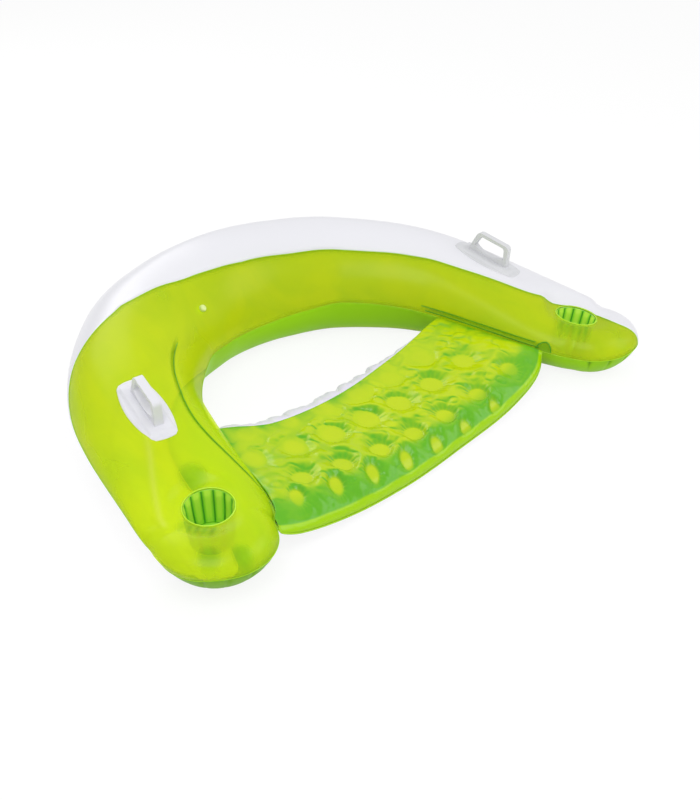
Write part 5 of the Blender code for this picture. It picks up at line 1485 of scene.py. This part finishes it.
def grip(name, matrix, slot):
    """Flat strap bent to a loop, with soft edges, from an outline and its finger hole."""
    base = PLINTH_HEIGHT - 0.0008
    top = PLINTH_HEIGHT + 0.0002 + GRIP_HEIGHT
    foot, head = GRIP_FOOT_LENGTH / 2.0, GRIP_TOP_LENGTH / 2.0
    lean = math.atan2(foot - head, GRIP_HEIGHT)
    half_pi = math.pi / 2.0
    outer = [(-foot, base), (foot, base)]
    outer += arc((head - GRIP_CORNER, top - GRIP_CORNER), GRIP_CORNER, lean, half_pi, 12)
    outer += arc((GRIP_CORNER - head, top - GRIP_CORNER), GRIP_CORNER, half_pi, math.pi - lean, 12)
    inner_corner = GRIP_CORNER - GRIP_BAR / 2.0
    hole_top = top - GRIP_BAR
    hole_head = head - GRIP_LEG
    hole_foot = mix(foot, head, GRIP_WEB / GRIP_HEIGHT) - GRIP_LEG
    hole_low = base + GRIP_WEB
    hole = arc((hole_head - inner_corner, hole_top - inner_corner), inner_corner, half_pi, lean, 10)
    for share in np.linspace(1.0, -1.0, 25):
        hole.append((share * hole_foot, hole_low - GRIP_WEB_DIP * (1.0 - share * share)))
    hole += arc((inner_corner - hole_head, hole_top - inner_corner), inner_corner, math.pi - lean, half_pi,
                10)
    curve = bpy.data.curves.new("grip_outline", "CURVE")
    curve.dimensions = "2D"
    curve.fill_mode = "BOTH"
    curve.extrude = GRIP_WIDTH / 2.0
    for outline in (outer, hole):
        spline = curve.splines.new("POLY")
        spline.points.add(len(outline) - 1)
        for target, (along, height) in zip(spline.points, outline):
            target.co = (along, height, 0.0, 1.0)
        spline.use_cyclic_u = True
    flat = bpy.data.objects.new("grip_outline", curve)
    bpy.context.scene.collection.objects.link(flat)
    mesh = bpy.data.meshes.new_from_object(flat.evaluated_get(bpy.context.evaluated_depsgraph_get()))
    bpy.data.objects.remove(flat, do_unlink=True)
    work = bmesh.new()
    work.from_mesh(mesh)
    bmesh.ops.remove_doubles(work, verts=work.verts, dist=0.00001)
    bmesh.ops.dissolve_limit(work, angle_limit=math.radians(1.0), verts=work.verts, edges=work.edges)
    bmesh.ops.recalc_face_normals(work, faces=work.faces)
    work.to_mesh(mesh)
    work.free()
    mesh.transform(matrix @ Matrix.Rotation(half_pi, 4, "X"))
    mesh.materials.clear()
    mesh.materials.append(MATERIALS[slot])
    mesh.shade_smooth()
    item = bpy.data.objects.new("grip_loop_" + name, mesh)
    bpy.context.scene.collection.objects.link(item)
    bevel = item.modifiers.new("Edge", "BEVEL")
    bevel.width = GRIP_EDGE
    bevel.segments = 4
    bevel.limit_method = "ANGLE"
    bevel.angle_limit = math.radians(50.0)
    bevel.harden_normals = True
    settle(item)
    dress(item, "chair", slot, "handle_grip_" + name)


# Seat


def crease_table():
    """Inner crease of the right arm and tip as (forward, point, slant) rows."""
    points = [ring_points(travel, 0.0)[0] for travel in np.linspace(0.5, 1.0, 160)]
    points += [tip_points(1.0, turn, 2.0)[0] for turn in TIP_TURNS[-2::-1] if turn > 0.55]
    points = np.array(points)
    runs = np.gradient(points, axis=0)
    return -points[:, 1], points, np.linalg.norm(runs, axis=1) / np.maximum(np.abs(runs[:, 1]), 0.0001)


CREASE_FORWARD, CREASE_POINTS, CREASE_SLANTS = crease_table()


def seat_edge(forward):
    """Points of the right crease at distances forward of the origin."""
    return np.stack([np.interp(forward, CREASE_FORWARD, CREASE_POINTS[:, k]) for k in range(3)], axis=-1)


def crease_clearance(forward, distance):
    """Sideways distance that keeps a clear distance from the slanted crease."""
    return distance * np.interp(forward, CREASE_FORWARD, CREASE_SLANTS)


def seat_forward(across, along):
    """How far forward the seat lies at a place: across -1 to 1, along -1 front to 1 rear."""
    front = SEAT_FRONT * read_smooth(SEAT_FRONT_SHARES, across)
    rear = SEAT_REAR * read_smooth(SEAT_REAR_SHARES, across)
    return mix(front, rear, (along + 1.0) / 2.0)


def seat_taper(across):
    """Fades the seat's thickness out towards its joins."""
    return np.sqrt(np.maximum(0.0, 1.0 - np.abs(across) ** 5))


def seat_outline(across, along):
    """Neutral surface of the seat: across -1 to 1, along -1 front to 1 rear."""
    bend = across * across
    forward = seat_forward(across, along)
    ends = np.ones_like(across)
    side_forward = mix(seat_forward(-ends, along), seat_forward(ends, along), ease((across + 1.0) / 2.0))
    edge = seat_edge(side_forward)
    reach = edge[..., 0] - crease_clearance(side_forward, SEAT_EDGE_CLEARANCE)
    taper = seat_taper(across)
    height = edge[..., 2] - SEAT_SAG * (1.0 - bend)
    height = height - SEAT_FRONT_SEAM_DROP * taper * ease((-along - 0.2) / 0.8)
    height = height + SEAT_REAR_SEAM_RISE * taper * ease((along - 0.2) / 0.8)
    return np.stack([across * reach, -forward, height], axis=-1)


def disc_centres():
    """Middles of the welded discs, in rows that bow forward in the middle."""
    reach = float(ring_points(1.0, 0.0)[0][0])
    centres = []
    rows = zip(DISC_ROW_FORWARD, DISC_ROW_COUNT, DISC_ROW_MIDDLE_SHARES, DISC_ROW_PITCH_SHARES)
    for forward, count, middle_share, pitch_share in rows:
        for index in range(count):
            share = middle_share + (index - (count - 1) / 2.0) * pitch_share
            across = HALF_SPAN * (share + DISC_ROW_DRIFT_SHARE * max(share, 0.0) ** 2)
            centres.append((across, DISC_ROW_BOW * (across / reach) ** 2 - forward))
    return np.array(centres)


def seat_top():
    """Puffy film welded down in discs, with fine folds round each disc and a smooth roll in front."""
    columns, rows = 350, 128
    across = np.linspace(-1.0, 1.0, columns + 1)[None, :]
    along = (1.0 - 2.0 * (0.5 - 0.5 * np.cos(math.pi * np.linspace(0.0, 1.0, rows + 1))))[:, None]
    along = mix(along, np.linspace(1.0, -1.0, rows + 1)[:, None], SEAT_ROW_SHARE)
    across, along = np.broadcast_arrays(across, along)
    base = seat_outline(across, along)
    x, y = base[..., 0], base[..., 1]
    rest = seat_outline(across, np.zeros_like(along))[..., 2]
    taper = seat_taper(across)
    body = np.sqrt(np.maximum(0.0, 1.0 - np.abs(along) ** 3.0))
    crown = np.maximum(rest + SEAT_CROWN * taper - base[..., 2], 0.0)
    centres = disc_centres()
    row = np.repeat(np.arange(len(DISC_ROW_COUNT)), DISC_ROW_COUNT)
    offsets = base[:, :, None, :2] - centres[None, None, :, :]
    short = offsets @ np.array(SPOT_ACROSS)
    long = offsets @ np.array((-SPOT_ACROSS[1], SPOT_ACROSS[0]))
    offsets = np.stack([short * np.array(SPOT_NARROWING_SHARES)[row],
                        long * np.array(SPOT_LENGTH_SHARES)[row]], axis=-1)
    wobble = 1.0 + DISC_WOBBLE_SHARE * bumps(x, y, 0.021, 77)[:, :, None]
    distances = np.linalg.norm(offsets, axis=-1) * wobble
    order = np.argsort(distances, axis=-1)
    nearest = np.take_along_axis(distances, order[..., :1], axis=-1)[..., 0]
    second = np.take_along_axis(distances, order[..., 1:2], axis=-1)[..., 0]
    index = order[..., 0]
    own = np.take_along_axis(offsets, order[..., :1, None].repeat(2, axis=-1), axis=2)[:, :, 0, :]
    bearing = np.arctan2(own[..., 1], own[..., 0])
    flat = DISC_RADIUS * DISC_FLAT_SHARE
    gap = np.clip((nearest - flat) / np.maximum((nearest + second) / 2.0 - flat, DISC_LEAST_PUFF), 0.0, 1.0)
    puff = np.sin(0.5 * math.pi * gap) ** 1.15
    inside = ease((along + 1.0) * 7.0) * ease((1.0 - along) * 9.0)
    dimple = DISC_DEPTH * (1.0 - puff) * taper * inside
    count = DISC_FOLD_COUNT + (index * 7) % 6
    phase = index * 1.7
    fold = np.cos(count * bearing + phase) + 0.6 * np.cos((count + 6) * bearing - 2.0 * phase)
    beyond = np.maximum(nearest - DISC_RADIUS, 0.0)
    fold = fold * np.exp(-beyond / DISC_FOLD_REACH) * ease((nearest - DISC_RADIUS * DISC_FOLD_SHARE) / 0.005)
    crease = np.maximum(1.0 - 3.0 * np.abs(bumps(x * 0.9 + y * 0.4, y * 0.9 - x * 0.4, 0.026, 81)), 0.0)
    swell = bumps(x, y, SEAT_SWELL_STEP, 83) + 0.5 * bumps(x, y, SEAT_SWELL_STEP / 2.0, 85)
    lift = DISC_FOLD_HEIGHT * fold - SEAT_CREASE_DEPTH * crease * puff + SEAT_SWELL_HEIGHT * swell * puff
    lift = lift * taper * inside
    pucker = wander(x, 0.007, 87) * np.exp(-(along + 1.0) / SEAT_PUCKER_REACH)
    pucker = pucker + wander(x, 0.008, 88) * np.exp(-(1.0 - along) / SEAT_PUCKER_REACH)
    lift = lift + SEAT_PUCKER_HEIGHT * pucker * taper * ease((1.0 - np.abs(along)) * 40.0)
    height = base[..., 2] + SEAT_FILM_GAP + crown * body - dimple + lift
    height = np.maximum(height, base[..., 2] + SEAT_FILM_LEAST_GAP)
    points = np.stack([x, y, height], axis=-1)
    normals = outward_normals(points, rows // 2, columns // 2, (0.0, 0.0, 1.0))
    # Painted shade on slopes that face the front, in creases and tucks, and on the left side
    facing = -(normals @ np.array(SHADE_HEADING))
    disc = 1.0 - ease((nearest - DISC_RADIUS * DISC_COLOUR_SHARE) / (DISC_RADIUS * DISC_COLOUR_FADE_SHARE))
    disc = disc * np.array(DISC_ROW_COLOUR_SHARES)[row[index]]
    streaks = 0.92 + 0.08 * np.cos(count * bearing + phase)
    shade = ease((facing - SHADE_START) / SHADE_FADE) * SHADE_SHARE * streaks
    shade = shade + CREASE_SHADE_SHARE * crease * puff
    rear_folds = (0.5 + 0.5 * wander(x, 0.016, 89)) * (1.0 - ease((x + 0.05) / 0.25))
    side_folds = 0.55 + 0.45 * wander(y, 0.020, 90)
    tuck_and_shade = line_strength(along, 1.0, 0.16) * rear_folds
    tuck_and_shade = tuck_and_shade + line_strength(np.abs(across), 1.0, 0.035) * side_folds
    left_side = 1.0 - ease((x + 0.34) / 0.30)
    shade = shade + TUCK_SHADE_SHARE * np.clip(tuck_and_shade, 0.0, 1.0) + LEFT_SHADE_SHARE * left_side
    # Painted shade on the front roll
    roll = ease((-along - ROLL_START_SHARE) / ROLL_FADE_SHARE) * ROLL_SHADE_SHARE
    edge = ease((-along - EDGE_START_SHARE) / EDGE_FADE_SHARE)
    values = {"disc": (disc * inside * taper).ravel(),
              "shade": np.clip(shade * (1.0 - disc), 0.0, 1.0).ravel(),
              "roll": roll.ravel(), "edge": edge.ravel()}
    film = mesh_piece("seat_top_film", points.reshape(-1, 3), grid_faces(rows + 1, columns + 1),
                      MATERIALS["seat_film"], values)
    finish_film(film, (0.0, -0.3, 0.08), (0.0, 0.0, 1.0), "seat_film", "seat_top_sheet", outward=True)


def seat_bottom():
    """White film under the seat, which bulges out behind the rear weld in loose folds."""
    columns = 300
    under = np.linspace(-1.0, 1.0, 60)
    behind = np.linspace(1.0, 2.0, 41)[1:]
    across = np.linspace(-1.0, 1.0, columns + 1)[None, :]
    taper = seat_taper(across)
    rest = seat_outline(across, np.zeros_like(across))[..., 2]
    lines = []
    for along in under:
        base = seat_outline(across, np.full_like(across, along))
        low = rest - SEAT_DROP * taper
        body = math.sqrt(max(0.0, 1.0 - max(0.0, -along) ** 4.0))
        seam_low = base[..., 2] - SEAT_FILM_GAP
        height = mix(seam_low, np.minimum(low, seam_low), body)
        lines.append(np.stack([base[..., 0], base[..., 1], height], axis=-1)[0])
    seam = seat_outline(across, np.ones_like(across))
    low = np.minimum(rest - SEAT_DROP * taper, seam[..., 2] - SEAT_FILM_GAP)
    run = np.linspace(0.0, 1.0, columns + 1)[None, :]
    hem = read_smooth(HEM_SHARES, across)
    for along in behind:
        turn = (along - 1.0) * math.pi
        loose = 1.0 + HEM_FOLD_SHARE * wander(run, 0.035, 91) + HEM_FINE_FOLD_SHARE * wander(run, 0.013, 92)
        reach = SEAT_REAR_BULGE * taper * loose * math.sin(turn) * hem + SEAT_FILM_GAP
        middle = (low + seam[..., 2]) / 2.0
        height = middle - (seam[..., 2] - low) / 2.0 * math.cos(turn)
        height = height + HEM_WAVE_HEIGHT * taper * wander(run + along * 0.02, 0.022, 93) * math.sin(turn)
        lines.append(np.stack([seam[..., 0], seam[..., 1] + reach, height], axis=-1)[0])
    grid = np.array(lines)
    film = mesh_piece("seat_bottom_film", grid.reshape(-1, 3), grid_faces(len(grid), columns + 1),
                      MATERIALS["seat_underside_film"])
    finish_film(film, (0.0, -0.3, 0.02), (0.0, 0.0, -1.0), "seat_underside_film", "seat_bottom_sheet",
                outward=True)


def seat_welds():
    """Weld bead round the seat, and the strips that join it to the arms."""
    shares = np.linspace(-1.0, 1.0, 161)
    ones = np.ones_like(shares)
    line = [seat_outline(shares, ones)]
    line.append(seat_outline(ones[1:], shares[::-1][1:]))
    line.append(seat_outline(shares[::-1][1:], -ones[1:]))
    line.append(seat_outline(-ones[1:-1], shares[1:-1]))
    item = bead("seat_rim_bead", np.concatenate(line), SEAT_WELD_RADIUS, True, MATERIALS["weld_bead"], 8)
    dress(item, "chair", "weld_bead", "seat_rim_weld")
    for side, name in ((-1.0, "left"), (1.0, "right")):
        share = np.linspace(0.97, -0.97, 81)
        forward = seat_forward(np.full_like(share, side), share)
        inner = seat_edge(forward)
        across = side * (inner[:, 0] - crease_clearance(forward, JOIN_CLEARANCE))
        line = np.stack([across, -forward, inner[:, 2] - JOIN_DROP], axis=1)
        strip = bead("seat_join_strip_" + name, line, JOIN_RADIUS, False, MATERIALS["weld_bead"], 10)
        dress(strip, "chair", "weld_bead", "seat_join_" + name)


def line_on_film(travel, distance):
    """Point of the right arm's film at a distance from the inner crease."""
    places = np.linspace(0.0, 1.0, 200)
    place = np.interp(distance, line_lengths(ring_points(travel, places)), places)
    return ring_points(travel, place)[0]


def fold_lines():
    """Thin folded edges in painted shade: the long fold on the left arm, and the lines and arch beside the
    right join.
    """
    line = []
    for travel in np.linspace(0.50, 0.85, 90):
        point = ring_points(-travel, read_table(FOLD_SHARES, travel))[0]
        line.append(point - np.array((0.0, 0.0, 0.6 * FOLD_DEPTH)))
    item = bead("arm_fold_left", dish(np.array(line)), ARM_FOLD_RADIUS, False, MATERIALS["fold_line"], 8)
    dress(item, "chair", "lime_film")
    for name, first, last, distance in FLANGE_LINES:
        line = [line_on_film(travel, distance) for travel in np.linspace(first, last, 50)]
        item = bead("flange_line_" + name, line, FLANGE_LINE_RADIUS, False, MATERIALS["fold_line"], 8)
        dress(item, "chair", "lime_film")
    shares = np.linspace(0.0, 1.0, 48)
    line = [line_on_film(mix(*ARCH_TRAVEL_SHARES, share), arch_height(share)) for share in shares]
    item = bead("flange_arch", line, ARCH_LINE_RADIUS, False, MATERIALS["fold_line"], 8)
    dress(item, "chair", "lime_film")


def valve_looks():
    """The valves keep their CAD shapes, with this scene's finishes."""
    for valve in ("ring", "seat"):
        for part, slot in (("collar", "valve_vinyl"), ("stem", "valve_vinyl"), ("plug", "valve_soft_vinyl"),
                           ("flap", "valve_soft_vinyl")):
            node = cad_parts[valve + "_valve_" + part]
            node.data.materials.clear()
            node.data.materials.append(MATERIALS[slot])


# Floor, lamps and camera


# Lamps as name, place, width and power, which all point at LAMP_AIM
LAMPS = (("key", (-1.6, -1.4, 3.2), 2.2, 61.0), ("fill", (2.4, -2.2, 2.2), 2.4, 36.0),
         ("back", (0.4, 3.0, 2.6), 2.4, 36.0))
LAMP_AIM = (0.0, 0.0, 0.1)
FLOOR_HALF_WIDTH = 12.0
FLOOR_HEIGHT = -0.0005
# The floor's glow, and its share in what the camera and reflections see
FLOOR_GLOW = 1.02
FLOOR_GLOW_SHARE = 0.86
CAMERA_PLACE = (-1.752, -1.885, 1.545)
CAMERA_AIM = (0.0, 0.006, 0.150)


def studio():
    """White floor, white surroundings and three lamps."""
    floor_mesh = bpy.data.meshes.new("floor")
    corners = [(x * FLOOR_HALF_WIDTH, y * FLOOR_HALF_WIDTH, FLOOR_HEIGHT) for x, y in
               ((-1.0, -1.0), (1.0, -1.0), (1.0, 1.0), (-1.0, 1.0))]
    floor_mesh.from_pydata(corners, [], [(0, 1, 2, 3)])
    floor = bpy.data.objects.new("floor", floor_mesh)
    bpy.context.scene.collection.objects.link(floor)
    tree = Tree("floor_white")
    tree.shader.inputs["Base Color"].default_value = (0.90, 0.90, 0.90, 1.0)
    tree.shader.inputs["Roughness"].default_value = 0.9
    glow = tree.add("ShaderNodeEmission")
    glow.inputs["Color"].default_value = (1.0, 1.0, 1.0, 1.0)
    glow.inputs["Strength"].default_value = FLOOR_GLOW
    rays = tree.add("ShaderNodeLightPath")
    seen = tree.add("ShaderNodeMath", operation="MAXIMUM")
    tree.link(rays.outputs["Is Camera Ray"], seen.inputs[0])
    tree.link(rays.outputs["Is Glossy Ray"], seen.inputs[1])
    share = tree.scale(seen.outputs["Value"], FLOOR_GLOW_SHARE)
    mixed = tree.add("ShaderNodeMixShader")
    tree.link(share, mixed.inputs["Fac"])
    tree.link(tree.shader.outputs["BSDF"], mixed.inputs[1])
    tree.link(glow.outputs["Emission"], mixed.inputs[2])
    tree.link(mixed.outputs["Shader"], tree.output.inputs["Surface"])
    floor_mesh.materials.append(tree.material)
    world = bpy.data.worlds.new("studio")
    bpy.context.scene.world = world
    world.use_nodes = True
    nodes, links = world.node_tree.nodes, world.node_tree.links
    background = nodes["Background"]
    background.inputs["Color"].default_value = (1.0, 1.0, 1.0, 1.0)
    rays = nodes.new("ShaderNodeLightPath")
    strength = nodes.new("ShaderNodeMath")
    strength.operation = "MULTIPLY_ADD"
    links.new(rays.outputs["Is Camera Ray"], strength.inputs[0])
    strength.inputs[1].default_value = 0.35
    strength.inputs[2].default_value = 0.65
    links.new(strength.outputs["Value"], background.inputs["Strength"])
    for name, place, width, power in LAMPS:
        lamp = bpy.data.lights.new(name, "AREA")
        lamp.shape = "SQUARE"
        lamp.size = width
        lamp.energy = power
        item = bpy.data.objects.new(name, lamp)
        item.location = place
        item.rotation_euler = (Vector(LAMP_AIM) - Vector(place)).to_track_quat("-Z", "Y").to_euler()
        bpy.context.scene.collection.objects.link(item)
    bpy.context.scene.view_settings.view_transform = "Standard"


def photo_camera():
    """Camera at the photograph's angle."""
    camera = bpy.data.cameras.new("photo_camera")
    camera.lens = 52.7
    camera.sensor_width = 36.0
    camera.shift_x = 0.044
    camera.shift_y = -0.078
    item = bpy.data.objects.new("photo_camera", camera)
    item.location = CAMERA_PLACE
    item.rotation_euler = (Vector(CAMERA_AIM) - item.location).to_track_quat("-Z", "Y").to_euler()
    bpy.context.scene.collection.objects.link(item)
    bpy.context.scene.camera = item


top_film()
outer_film()
wall_film()
bottom_film()
top_weld()
floor_weld()
cup(-1.0, "left")
cup(1.0, "right")
handle(-1.0, "left", HANDLE_OFFSET_LEFT, "handle_white")
handle(1.0, "right", HANDLE_OFFSET_RIGHT, "handle_grey")
seat_top()
seat_bottom()
seat_welds()
fold_lines()
valve_looks()
studio()
photo_camera()

bpy.context.view_layer.update()
